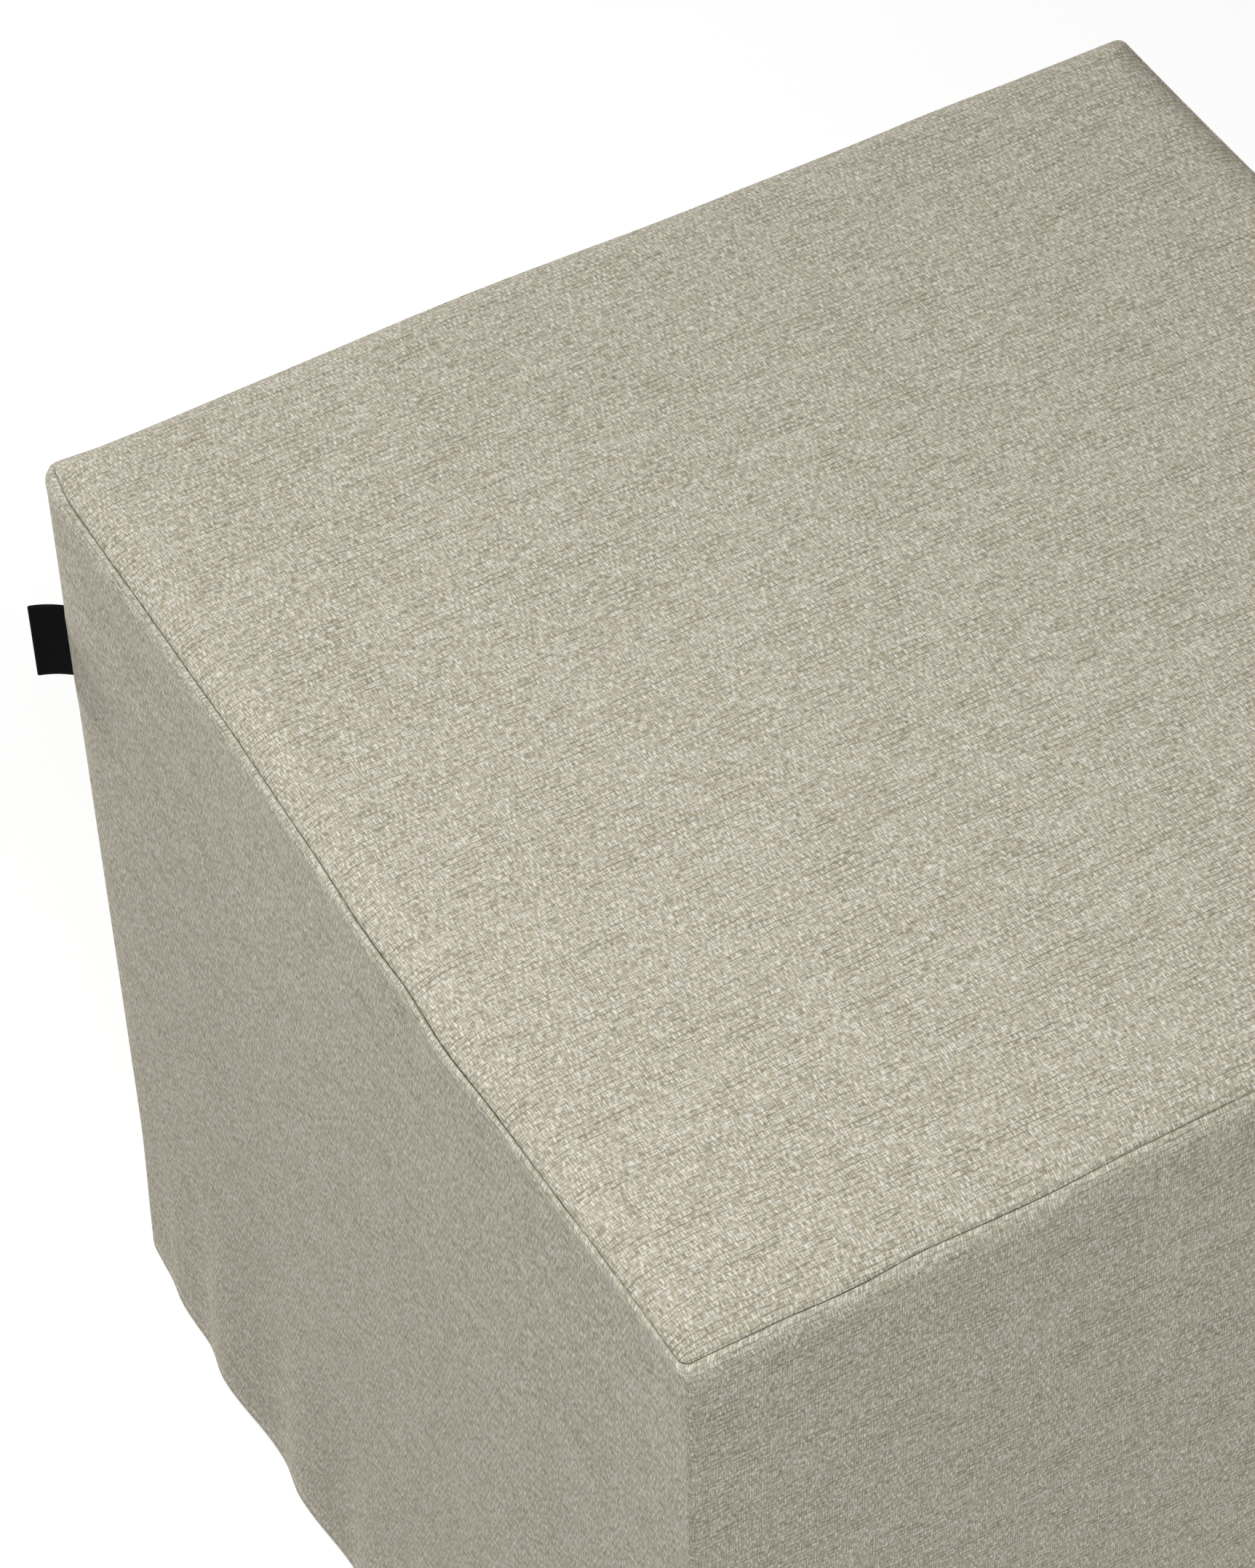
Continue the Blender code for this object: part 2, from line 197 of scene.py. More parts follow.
CREASES = {
    Side.LEFT: (
        Crease((-0.026, 0.402), (-0.052, 0.318), 0.017, 0.0007, 0.25),
        Crease((0.012, 0.402), (-0.006, 0.330), 0.016, 0.0005, 0.25),
        Crease((0.066, 0.402), (0.056, 0.340), 0.018, 0.0004, 0.25),
        Crease((-0.082, 0.402), (-0.112, 0.345), 0.017, 0.0004, 0.25),
        Crease((0.196, 0.346), (0.118, 0.332), 0.016, 0.0011, 0.15),
        Crease((0.196, 0.318), (0.112, 0.306), 0.015, -0.0008, 0.15),
    ),
    Side.FRONT: (
        Crease((-0.112, 0.402), (-0.098, 0.345), 0.018, 0.0005, 0.25),
        Crease((-0.034, 0.402), (-0.046, 0.350), 0.017, 0.0004, 0.25),
        Crease((0.046, 0.402), (0.060, 0.340), 0.018, 0.0005, 0.25),
    ),
    Side.RIGHT: (
        Crease((0.020, 0.402), (0.034, 0.335), 0.018, 0.0005, 0.25),
        Crease((-0.084, 0.402), (-0.100, 0.345), 0.017, 0.0005, 0.25),
    ),
    Side.BACK: (
        Crease((0.060, 0.402), (0.044, 0.340), 0.018, 0.0005, 0.25),
        Crease((-0.110, 0.402), (-0.094, 0.350), 0.017, 0.0004, 0.25),
    ),
}


def bump(share: Array) -> Array:
    """A smooth hill, cosine squared: 1 at 0, and 0 from 1 on."""
    return np.where(np.abs(share) < 1, np.cos(np.clip(share, -1, 1) * np.pi / 2) ** 2, 0.0)


def ease(share: Array) -> Array:
    """A smooth step from 0 to 1: three times the square less twice the cube."""
    share = np.clip(share, 0.0, 1.0)
    return share * share * (3 - 2 * share)


def runs(*spans: tuple[float, float, int]) -> Array:
    """Even steps over spans end to end, each a first value, a last one left out, and a count."""
    return np.concatenate([np.linspace(*span, endpoint=False) for span in spans])


def lengths(steps: Array) -> Array:
    """How far each point of a line is from its first, from the steps between them."""
    return np.concatenate([[0.0], np.cumsum(steps)])


class Rings(NamedTuple):
    """The cloth's rings from its first to its last, as arrays.

    Half is a ring's half width, radius its corner radius as at the shoulder seam, opened how much
    of the way it has gone from that to the side's own radii, and flat its distance from the first
    ring along the cloth.
    """

    half: Array
    height: Array
    radius: Array
    opened: Array
    flat: Array


@dataclass(frozen=True)
class CoverForm:
    """The sizes of the covered pouf and the formulas that place a point of its cloth.

    The shoulder is a quarter ellipse, shoulder_reach wide and shoulder_drop high, with the seam
    at seam_angle on it. The seams' edges lie seam_gap apart and sink by seam_dip over seam_lip.
    Swells fade out towards the corners over corner_ease, and on the top by the power inward_fade.
    Drawn_front and drawn_back are how far the left and right sides are drawn in at their two ends,
    and drawn_deep the front and the back, full from drawn_above below the seam to drawn_below
    above the floor.
    """

    half_width: float = 0.200
    top_height: float = Level.SHOULDER.value
    crown_height: float = 0.0025
    crown_power: float = 1.5
    shoulder_reach: float = 0.018
    shoulder_drop: float = 0.013
    corner_radius: float = 0.0025
    closing_radius: float = 0.0085
    corner_ease: float = 0.018
    inward_fade: int = 4
    seam_angle: float = radians(40)
    seam_radius: float = 0.003
    seam_gap: float = 0.00017
    seam_lip: float = 0.0013
    seam_dip: float = 0.0004
    drawn_front: float = 0.0042
    drawn_back: float = 0.0015
    drawn_deep: float = 0.0008
    drawn_above: float = 0.008
    drawn_below: float = 0.080
    thickness: float = 0.002

    def own_radius(self, side: Side, end: Array | float) -> Array:
        """The radius of a side's corners: of its first where end is below 0, of its last above."""
        return np.where(side.closing_end * end > 0, self.closing_radius, self.corner_radius)

    def swelling(
        self, side: Side, place: Array, height: Array, to_corner: Array, least_reach: float = 0.0
    ) -> Array:
        """How far the cloth stands out of a side: the sum of its swells, nothing at its corners.

        Args:
            side: The side that is asked about.
            place: The points' Y or X on that side.
            height: The points' heights.
            to_corner: How far the points are from the middle of their nearest corner.
            least_reach: Leaves out the swells that reach less far.

        Returns:
            The distance out of the side's plane, in metres.
        """
        total = np.zeros(np.broadcast(place, height).shape)
        for level in Level:
            for row in SWELLS[side, level]:
                if row.reach < least_reach:
                    continue
                faded = (height - level.value) / row.reach
                apart = place - row.centre
                flank = row.half_width * (1 - row.steeper * np.sign(apart))
                total += row.height * bump(apart / flank) * bump(faded)
        if least_reach == 0.0:
            total += self.creasing(side, place, height)
        return total * ease(to_corner / self.corner_ease)

    def creasing(self, side: Side, place: Array, height: Array) -> Array:
        """How far a side's creases stand out: hills across their lines, eased in and out.

        Args:
            side: The side that is asked about.
            place: The points' Y or X on that side.
            height: The points' heights.

        Returns:
            The distance out of the side's plane, in metres.
        """
        total = np.zeros(np.broadcast(place, height).shape)
        for row in CREASES[side]:
            run, rise = row.last[0] - row.first[0], row.last[1] - row.first[1]
            length = hypot(run, rise)
            right, up = place - row.first[0], height - row.first[1]
            along = (right * run + up * rise) / length**2
            across = (right * rise - up * run) / length
            faded = ease(along / row.strongest) * ease((1 - along) / (1 - row.strongest))
            total += row.height * bump(across / row.half_width) * faded
        return total

    def rounded(self, side: Side, fraction: Array, rings: Rings) -> tuple[Array, Array, Array]:
        """Rounded squares: straight runs, then eighths of a circle to the corners' middles.

        Args:
            side: The side that the points are on.
            fraction: -1 and 1 are the middles of the side's two corners.
            rings: The points' rings, as arrays that fit the fractions.

        Returns:
            How far the points are out and along the side, and the angle by which the cloth there
            has turned away from facing straight out.
        """
        radius = rings.radius + rings.opened * (self.own_radius(side, fraction) - self.seam_radius)
        straight = rings.half - radius
        reach = np.abs(fraction) * rings.half
        turn = radians(45) * np.clip(reach - straight, 0, None) / radius
        round_it = straight + radius * np.sin(turn)
        along = np.sign(fraction) * np.where(reach <= straight, reach, round_it)
        return straight + radius * np.cos(turn), along, np.sign(fraction) * turn

    def on_side(
        self, side: Side, fraction: Array, rings: Rings, share: Array | float = 1.0
    ) -> Array:
        """Points of the cloth on one side, swelled.

        Args:
            side: The side that the points are on.
            fraction: -1 and 1 are the middles of the side's two corners.
            rings: The points' rings, as arrays that fit the fractions.
            share: The share of the side's swell that the points take.

        Returns:
            The points, with x, y and z on the last axis.
        """
        out, along, _ = self.rounded(side, fraction, rings)
        height = np.broadcast_to(rings.height, along.shape)
        to_corner = (1 - np.abs(fraction)) * rings.half
        out = out + share * self.swelling(side, along * sum(side.along), height, to_corner)
        x, y = (side.out[i] * out + side.along[i] * along for i in (0, 1))
        return np.stack([x, y, height], axis=-1)

    def drawn_in(self, points: Array) -> Array:
        """The band's points drawn in towards the pouf's middle, between its seam and its hem.

        Their x and y shrink by a share that eases in below the seam and out again at the hem, and
        x by more towards the front.

        Args:
            points: The points, with x, y and z on the last axis.

        Returns:
            The moved points.
        """
        seam = self.top_height - self.shoulder_drop * (1 - sin(self.seam_angle))
        height = points[..., 2]
        share = ease((seam - height) / self.drawn_above) * ease(height / self.drawn_below)
        frontward = ease(0.5 - points[..., 1] / (2 * self.half_width))
        across = self.drawn_back + (self.drawn_front - self.drawn_back) * frontward
        moved = points.copy()
        for axis, reach in ((0, across), (1, self.drawn_deep)):
            moved[..., axis] *= 1 - share * reach / self.half_width
        return moved

    def crown(self, x: Array, y: Array) -> Array:
        """The top's rise towards its middle, level again where the shoulder's roll starts.

        Args:
            x: The points' X.
            y: The points' Y.

        Returns:
            The crown's height times a power of a parabola across times one deep.
        """
        edge = self.half_width - self.shoulder_reach
        across, deep = (np.clip(1 - (value / edge) ** 2, 0, None) for value in (x, y))
        return self.crown_height * (across * deep) ** self.crown_power

    def roll(self, angle: Array, dip: Array) -> Rings:
        """Rings on the shoulder's quarter ellipse, 0 at the side and 90 degrees at the top.

        Args:
            angle: The rings' angles on the ellipse.
            dip: How far each ring is sunk along the ellipse's normal.

        Returns:
            The rings, the first of which is the first angle's.
        """
        out, up = np.cos(angle) / self.shoulder_reach, np.sin(angle) / self.shoulder_drop
        length = np.hypot(out, up)
        half = self.half_width - self.shoulder_reach * (1 - np.cos(angle)) - dip * out / length
        height = self.top_height - self.shoulder_drop * (1 - np.sin(angle)) - dip * up / length
        return self.run(half, height, 1 - np.clip(angle / self.seam_angle, 0, 1))

    def run(self, half: Array, height: Array, opened: Array) -> Rings:
        """Rings with the seam's corner radius, and with their lengths along the cloth."""
        flat = lengths(np.hypot(np.diff(half), np.diff(height)))
        return Rings(half, height, np.full_like(half, self.seam_radius), opened, flat)

    def seam_rate(self) -> float:
        """The length along the roll for a unit of angle, at the seam."""
        angle = self.seam_angle
        return hypot(self.shoulder_reach * sin(angle), self.shoulder_drop * cos(angle))

    def lip(self, distance: Array) -> Array:
        """How far cloth is sunk at a distance from a seam's edge: a smooth step down."""
        return self.seam_dip * (1 - ease(distance / self.seam_lip))


def end_to_end(first: Rings, second: Rings) -> Rings:
    """Two runs of rings end to end, with the second's lengths counted on from the first's.

    Args:
        first: The run that comes first.
        second: The run that goes on from its last ring.

    Returns:
        The rings of both.
    """
    gap = hypot(second.half[0] - first.half[-1], second.height[0] - first.height[-1])
    flat = np.concatenate([first.flat, first.flat[-1] + gap + second.flat - second.flat[0]])
    arrays = [np.concatenate(pair) for pair in zip(first[:4], second[:4])]
    return Rings(*arrays, flat)


def grid_object(name: str, points: Array, laid: Array | None = None) -> bpy.types.Object:
    """A mesh object from a grid of points, one four-sided face between each four of them.

    Args:
        name: The piece's name.
        points: Rows by columns by xyz. Its normals are rows crossed with columns.
        laid: Rows by columns by the point's place on the cloth laid flat, kept as a UV map.

    Returns:
        The new object, linked to the scene, at the origin.
    """
    rows, columns = points.shape[:2]
    index = np.arange(rows * columns).reshape(rows, columns)
    corners = [index[:-1, :-1], index[1:, :-1], index[1:, 1:], index[:-1, 1:]]
    loops = np.stack(corners, axis=-1).reshape(-1)
    mesh = bpy.data.meshes.new(name)
    mesh.vertices.add(rows * columns)
    mesh.vertices.foreach_set("co", points.astype(np.float32).reshape(-1))
    mesh.loops.add(len(loops))
    mesh.loops.foreach_set("vertex_index", loops.astype(np.int32))
    mesh.polygons.add(len(loops) // 4)
    mesh.polygons.foreach_set("loop_start", np.arange(0, len(loops), 4, dtype=np.int32))
    mesh.update(calc_edges=True)
    if laid is not None:
        layer = mesh.uv_layers.new(name="cloth")
        layer.data.foreach_set("uv", laid.reshape(-1, 2)[loops].astype(np.float32).reshape(-1))
    mesh.validate()
    mesh.shade_smooth()
    piece = bpy.data.objects.new(name, mesh)
    bpy.context.scene.collection.objects.link(piece)
    return piece


def thicken(piece: bpy.types.Object, thickness: float, offset: float) -> None:
    """Gives an open sheet its thickness; offset -1 keeps the sheet as its outer face.

    Args:
        piece: The sheet.
        thickness: How thick it becomes.
        offset: -1 for inwards, 0 for both ways.
    """
    solidify = piece.modifiers.new("Cloth", "SOLIDIFY")
    solidify.thickness = thickness
    solidify.offset = offset
    solidify.use_even_offset = True
    solidify.use_quality_normals = True


def place(piece: bpy.types.Object, material: bpy.types.Material, node: str, slot: str) -> None:
    """Dresses a piece, and says which solid it stands for.

    Args:
        piece: The finished piece.
        material: What it wears.
        node: The solid that it replaces.
        slot: Not used.
    """
    piece.data.materials.append(material)
    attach(piece, BODY)
    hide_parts(node)
    log.info("%s: %d faces, for %s", piece.name, len(piece.data.polygons), node)


# ---------------------------------------------------------------- finishes


class Grain(NamedTuple):
    """A noise over the cloth: the depth at which it is read, its scale and its finer layers.

    Noises are read at depths of their own, so that no two are alike.
    """

    depth: float
    scale: float
    detail: float = 0.0


class Graph:
    """A material's node tree, built up through short calls."""

    def __init__(self, name: str) -> None:
        """Makes a new material that holds only its shader and output."""
        self.material = bpy.data.materials.new(name)
        self.material.use_nodes = True
        self.tree = self.material.node_tree
        self.shader = self.tree.nodes["Principled BSDF"]

    def feed(self, socket: Socket, source: Source | Colour) -> None:
        """Links a socket to another one, or sets it to a value.

        Args:
            socket: The socket that is fed.
            source: The other socket, or the value.
        """
        if isinstance(source, bpy.types.NodeSocket):
            self.tree.links.new(source, socket)
        else:
            socket.default_value = source

    def math(self, operation: str, *sources: Source) -> Socket:
        """A Math node's result.

        Args:
            operation: The node's operation, such as ADD.
            sources: Its one to three inputs.

        Returns:
            The result's socket.
        """
        node = self.tree.nodes.new("ShaderNodeMath")
        node.operation = operation
        for socket, source in zip(node.inputs, sources):
            self.feed(socket, source)
        return node.outputs[0]

    def point(self, x: Source, y: Source, z: Source = 0.0) -> Socket:
        """A vector from its three parts.

        Args:
            x: Its first part.
            y: Its second.
            z: Its third.

        Returns:
            The vector's socket.
        """
        node = self.tree.nodes.new("ShaderNodeCombineXYZ")
        for socket, source in zip(node.inputs, (x, y, z)):
            self.feed(socket, source)
        return node.outputs[0]

    def noise(self, place: Socket, scale: float = 1.0, detail: float = 0.0) -> Socket:
        """Smooth noise around 0.5 at a point.

        Args:
            place: The point.
            scale: How many times the noise is finer than one wave a unit.
            detail: How many finer layers it has.

        Returns:
            The noise's value.
        """
        node = self.tree.nodes.new("ShaderNodeTexNoise")
        node.noise_dimensions = "3D"
        self.feed(node.inputs["Vector"], place)
        node.inputs["Scale"].default_value = scale
        node.inputs["Detail"].default_value = detail
        return node.outputs["Fac"]

    def grained(self, across: Socket, up: Socket, grain: Grain) -> Socket:
        """A grain's noise at a place on the cloth."""
        return self.noise(self.point(across, up, grain.depth), grain.scale, grain.detail)

    def chance(self, place: Socket) -> Socket:
        """An even random value from 0 to 1 for each whole-numbered point.

        Args:
            place: The point.

        Returns:
            The value.
        """
        node = self.tree.nodes.new("ShaderNodeTexWhiteNoise")
        node.noise_dimensions = "3D"
        self.feed(node.inputs["Vector"], place)
        return node.outputs["Value"]

    def choose(self, share: Source, first: Source, second: Source) -> Socket:
        """The first value at a share of 0, the second at 1, and their mix between.

        Args:
            share: The share.
            first: The value at 0.
            second: The value at 1.

        Returns:
            The mixed value.
        """
        node = self.tree.nodes.new("ShaderNodeMix")
        node.data_type = "FLOAT"
        for key, source in zip(("Factor", "A", "B"), (share, first, second)):
            self.feed(node.inputs[key], source)
        return node.outputs[0]

    def ramp(self, share: Socket, stops: tuple[tuple[float, Colour], ...]) -> Socket:
        """A colour from a row of stops, each a place from 0 to 1 and a colour.

        Args:
            share: The value that is looked up.
            stops: Each stop's place and colour.

        Returns:
            The colour.
        """
        node = self.tree.nodes.new("ShaderNodeValToRGB")
        elements = node.color_ramp.elements
        while len(elements) < len(stops):
            elements.new(1.0)
        for element, (position, colour) in zip(elements, stops):
            element.position = position
            element.color = (*colour, 1.0)
        self.feed(node.inputs[0], share)
        return node.outputs[0]

    def laid_flat(self) -> tuple[Socket, Socket]:
        """The point's two places on the cloth laid flat, in metres.

        Returns:
            The first place and the second.
        """
        uv = self.tree.nodes.new("ShaderNodeUVMap")
        uv.uv_map = "cloth"
        split = self.tree.nodes.new("ShaderNodeSeparateXYZ")
        self.tree.links.new(uv.outputs[0], split.inputs[0])
        return split.outputs[0], split.outputs[1]

    def upright(self) -> Socket:
        """The point's height, in the piece's own coordinates.

        Returns:
            The height, in metres.
        """
        place_on = self.tree.nodes.new("ShaderNodeTexCoord")
        split = self.tree.nodes.new("ShaderNodeSeparateXYZ")
        self.tree.links.new(place_on.outputs["Object"], split.inputs[0])
        return split.outputs[2]

    def hill(self, value: Socket, middle: float, half_width: float) -> Socket:
        """A smooth hill: 1 where the value is at its middle, and 0 from its half width on."""
        up = self.within(value, middle - half_width, middle)
        return self.math("MULTIPLY", up, self.within(value, middle + half_width, middle))

    def tinted(self, colour: Socket, tint: Socket) -> Socket:
        """A colour times a tint.

        Args:
            colour: The colour.
            tint: The tint.

        Returns:
            The tinted colour.
        """
        node = self.tree.nodes.new("ShaderNodeMix")
        node.data_type = "RGBA"
        node.blend_type = "MULTIPLY"
        node.inputs["Factor"].default_value = 1.0
        self.feed(node.inputs[6], colour)
        self.feed(node.inputs[7], tint)
        return node.outputs[2]

    def sum_of(self, parts: tuple[tuple[Socket, float], ...]) -> Socket:
        """Values from 0 to 1, each taken about its middle and weighed, and added up.

        Args:
            parts: Each value and its weight.

        Returns:
            The sum, around 0.
        """
        total: Source = 0.0
        for value, weight in parts:
            total = self.math("MULTIPLY_ADD", self.math("SUBTRACT", value, 0.5), weight, total)
        return total

    def within(self, value: Socket, low: float, high: float) -> Socket:
        """A smooth step from 0 at the low value to 1 at the high one.

        Args:
            value: The value that is looked up.
            low: Where the step starts.
            high: Where it ends.

        Returns:
            The step's height.
        """
        node = self.tree.nodes.new("ShaderNodeMapRange")
        node.interpolation_type = "SMOOTHSTEP"
        self.feed(node.inputs["Value"], value)
        node.inputs["From Min"].default_value = low
        node.inputs["From Max"].default_value = high
        return node.outputs["Result"]

    def raise_by(self, height: Socket, distance: float) -> None:
        """Feeds a height to the shader as relief.

        Args:
            height: The height, from 0 to 1.
            distance: How many metres a height of 1 is.
        """
        node = self.tree.nodes.new("ShaderNodeBump")
        node.inputs["Strength"].default_value = 1.0
        node.inputs["Distance"].default_value = distance
        self.tree.links.new(height, node.inputs["Height"])
        self.tree.links.new(node.outputs[0], self.shader.inputs["Normal"])

    def set_shader(self, **values: float) -> None:
        """Sets the shader's own sockets, named with _ for a blank."""
        for key, value in values.items():
            self.shader.inputs[key.replace("_", " ")].default_value = value


class Thread(NamedTuple):
    """One of a weave's two sets of threads: how much each cause changes its tone.

    Own is the thread's, float_own that of each stretch on the cloth's face, slub that of its thick
    and thin places and fleck that of its short dark and light ones, with their lengths in threads.
    """

    own: float
    float_own: float
    slub: float
    slub_length: float
    fleck: float
    fleck_length: float


class Weave(NamedTuple):
    """A place on the woven cloth, as sockets: which thread is on top there, and its height."""

    column: Socket
    row: Socket
    pair: Socket
    across: Socket
    up: Socket
    on_top: Socket
    height: Socket
    line: Socket


class Wander(NamedTuple):
    """How threads stray: a noise's scales across and along them, its depth and its reach."""

    across: float
    along: float
    depth: float
    reach: float


class Backs(NamedTuple):
    """The threads' round backs, as powers of a half cosine that is 1 in the middle of a thread.

    Across is a thread's, and long that along the warp's longer stretches. A stretch's ends lie
    lower by dip. Crossing is how far the change from one set of threads to the other is spread,
    and line how sharp the lines of painted shade between the pairs of wefts are.
    """

    across: float = 1.2
    long: float = 0.5
    dip: float = 0.8
    crossing: float = 0.30
    line: float = 2.0


BACKS = Backs()
WANDERS = (Wander(0.045, 0.03, 0.0, 1.2), Wander(0.50, 0.40, 5.0, 1.0))
# The depths at which the threads' noises and chances are read
WARP_DEPTH, WEFT_DEPTH = 27.0, 11.0
WARP_STRAY_DEPTH, WEFT_STRAY_DEPTH = 3.0, 9.0
WARP_DASH_DEPTH, WEFT_DASH_DEPTH = 6.0, 8.0
STRETCH_DEPTH, FLECK_DEPTH = 5.0, 51.0
# How far apart neighbouring threads' noises are read
SLUBS_APART, FLECKS_APART = 7.31, 5.77
PATCHES = Grain(1.0, 130.0, 1.0)
NEPS = Grain(2.0, 420.0)
CLOUDS = Grain(0.0, 60.0, 2.0)
HUES = Grain(33.0, 0.55, 1.0)
# How deep the painted shade in the hollows between threads is in a patch: the share that a
# patch's noise adds, and the least one
PATCH_SHARES = (0.8, 0.6)
# How long the lines of painted shade between pairs of wefts are, in threads, and how far apart
# neighbouring lines' noises are read
LINE_LENGTH, LINES_APART = 16.0, 5.3
# The parts of a noise over which a line of painted shade, a nep and a hue come in
LINE_RANGE, NEP_RANGE, HUE_RANGE = (0.40, 0.75), (0.66, 0.80), (0.3, 0.7)
# The height and half width of the painted highlight on the hem's ridge, and of the painted
# shade along its sewn groove
HEM_PAINTED_LIGHT = ((0.0084, 0.0023), (0.0109, 0.0015))


@dataclass(frozen=True)
class MelangeWeave:
    """Uneven cloth of mixed light and dark threads, each warp thread over two wefts, under two.

    The weft runs along the first direction of the cloth laid flat and the warp along the second.
    Tones are counted from 0 for the dark colour to 1 for the light one. Nep, cloud and the dashes
    are how much each of them changes the tone. The amount for the hollows is painted shade in the
    hollows between the threads and painted light on their backs, line is painted shade in the
    grooves between pairs of wefts, and the hem's two amounts are a painted highlight on its ridge
    and painted shade along its sewn groove.
    """

    name: str
    warp_pitch: float
    weft_pitch: float
    dark: Colour
    middle: Colour
    light: Colour
    warm_tint: Colour
    cool_tint: Colour
    weft: Thread
    warp: Thread
    warp_lighter: float
    relief: float
    # Painted shade in the hollows between the threads, and painted light on their backs
    hollow_shade: float
    # Painted shade in the grooves between pairs of wefts
    line: float
    nep: float
    cloud: float
    dash_width: float
    dash_length: float
    warp_dash: float
    weft_dash: float
    roughness: float
    # Painted highlight on the hem's ridge and painted shade along its sewn groove, as amounts of
    # tone
    hem_painted_highlight: float = 0.0
    hem_painted_shade: float = 0.0
    sheen: float = 0.15
    tone_relief: float = 0.30

    def tone(
        self, graph: Graph, thread: Thread, run: Socket, number: Socket, depth: float
    ) -> Socket:
        """A thread's tone around 0: its own, and its thick and thin places as a noise along it.

        Args:
            graph: The material's tree.
            thread: The set of threads.
            run: The place along the thread, in threads.
            number: The thread's number.
            depth: Where this set of threads' noises are read.

        Returns:
            The tone's socket.
        """
        apart = graph.math("MULTIPLY", number, SLUBS_APART)
        slub = graph.noise(graph.point(graph.math("DIVIDE", run, thread.slub_length), apart, depth))
        own = graph.chance(graph.point(number, 0.0, depth))
        return graph.sum_of(((own, thread.own), (slub, thread.slub)))

    def fleck(
        self, graph: Graph, thread: Thread, run: Socket, number: Socket, stretch: Socket
    ) -> Socket:
        """How light a thread's back is: by chance for each stretch on top, and a noise along it.

        Args:
            graph: The material's tree.
            thread: The set of threads.
            run: The place along the thread, in threads.
            number: The thread's number.
            stretch: The number of the stretch along the thread.

        Returns:
            The lightness around 0.
        """
        apart = graph.math("MULTIPLY", number, FLECKS_APART)
        along = graph.math("DIVIDE", run, thread.fleck_length)
        speck = graph.noise(graph.point(along, apart, FLECK_DEPTH))
        bit = graph.chance(graph.point(number, stretch, STRETCH_DEPTH))
        return graph.sum_of(((bit, thread.float_own), (speck, thread.fleck)))

    def strayed(self, graph: Graph, first: Socket, second: Socket, depth: float) -> Socket:
        """A place across the threads, with their wandering: broad, and close by.

        Args:
            graph: The material's tree.
            first: The place across the threads, counted in them.
            second: The place along them.
            depth: Where this set of threads' noises are read.

        Returns:
            The moved place.
        """
        parts = []
        for row in WANDERS:
            across = graph.math("MULTIPLY", first, row.across)
            along = graph.math("MULTIPLY", second, row.along)
            noise = graph.noise(graph.point(across, along, depth + row.depth))
            parts.append((noise, row.reach))
        return graph.math("ADD", first, graph.sum_of(tuple(parts)))

    def dashes(self, graph: Graph, across: Socket, up: Socket) -> tuple[tuple[Socket, float], ...]:
        """Light and dark fibres that lie along both sets of threads, as noises drawn out long.

        Args:
            graph: The material's tree.
            across: The first place on the cloth laid flat, in metres.
            up: The second place.

        Returns:
            Two pairs of a noise and its weight.
        """
        pairs = []
        for sizes, depth, weight in (
            ((self.dash_width, self.dash_length), WARP_DASH_DEPTH, self.warp_dash),
            ((self.dash_length, self.dash_width), WEFT_DASH_DEPTH, self.weft_dash),
        ):
            spot = (graph.math("DIVIDE", place, size) for place, size in zip((across, up), sizes))
            pairs.append((graph.noise(graph.point(*spot, depth)), weight))
        return tuple(pairs)

    def weave(self, graph: Graph) -> Weave:
        """Works out which thread lies on top at a point, and the height of its round back.

        Args:
            graph: The material's tree.

        Returns:
            The place on the cloth.
        """
        across, up = graph.laid_flat()
        first = graph.math("DIVIDE", across, self.warp_pitch)
        second = graph.math("DIVIDE", up, self.weft_pitch)
        u = self.strayed(graph, first, second, WARP_STRAY_DEPTH)
        v = self.strayed(graph, second, first, WEFT_STRAY_DEPTH)
        half_v = graph.math("DIVIDE", v, 2.0)
        column, row, pair = (graph.math("FLOOR", value) for value in (u, v, half_v))
        waves = (graph.math("SINE", graph.math("MULTIPLY", value, np.pi)) for value in (u, half_v))
        on_top = graph.within(graph.math("MULTIPLY", *waves), BACKS.crossing, -BACKS.crossing)
        backs = []
        for value in (u, v, half_v):
            middle = graph.math("SUBTRACT", graph.math("FRACT", value), 0.5)
            backs.append(graph.math("COSINE", graph.math("MULTIPLY", middle, np.pi)))
        round_u, round_v, round_pair = backs
        round_stretch = graph.math("POWER", round_pair, BACKS.long)
        heights = []
        for back, stretch in ((round_v, round_u), (round_u, round_stretch)):
            end = graph.math("MULTIPLY_ADD", stretch, BACKS.dip, 1 - BACKS.dip)
            heights.append(graph.math("MULTIPLY", graph.math("POWER", back, BACKS.across), end))
        height = graph.choose(on_top, *heights)
        # The shape of the painted shade in the grooves between pairs of wefts
        line = graph.math("POWER", graph.math("SUBTRACT", 1.0, round_pair), BACKS.line)
        return Weave(column, row, pair, u, v, on_top, height, line)

    def threads(self, graph: Graph, at: Weave) -> Socket:
        """The tone of the thread on top: its own, and its flecks by the height of its back.

        Args:
            graph: The material's tree.
            at: The place on the cloth.

        Returns:
            The tone around 0.
        """
        weft = self.tone(graph, self.weft, at.across, at.row, WEFT_DEPTH)
        warp = self.tone(graph, self.warp, at.up, at.column, WARP_DEPTH)
        weft_fleck = self.fleck(graph, self.weft, at.across, at.row, at.column)
        warp_fleck = self.fleck(graph, self.warp, at.up, at.column, at.pair)
        warp_fleck = graph.math("ADD", warp_fleck, self.warp_lighter)
        tone = graph.choose(at.on_top, weft, warp)
        fleck = graph.choose(at.on_top, weft_fleck, warp_fleck)
        return graph.math("MULTIPLY_ADD", fleck, at.height, tone)

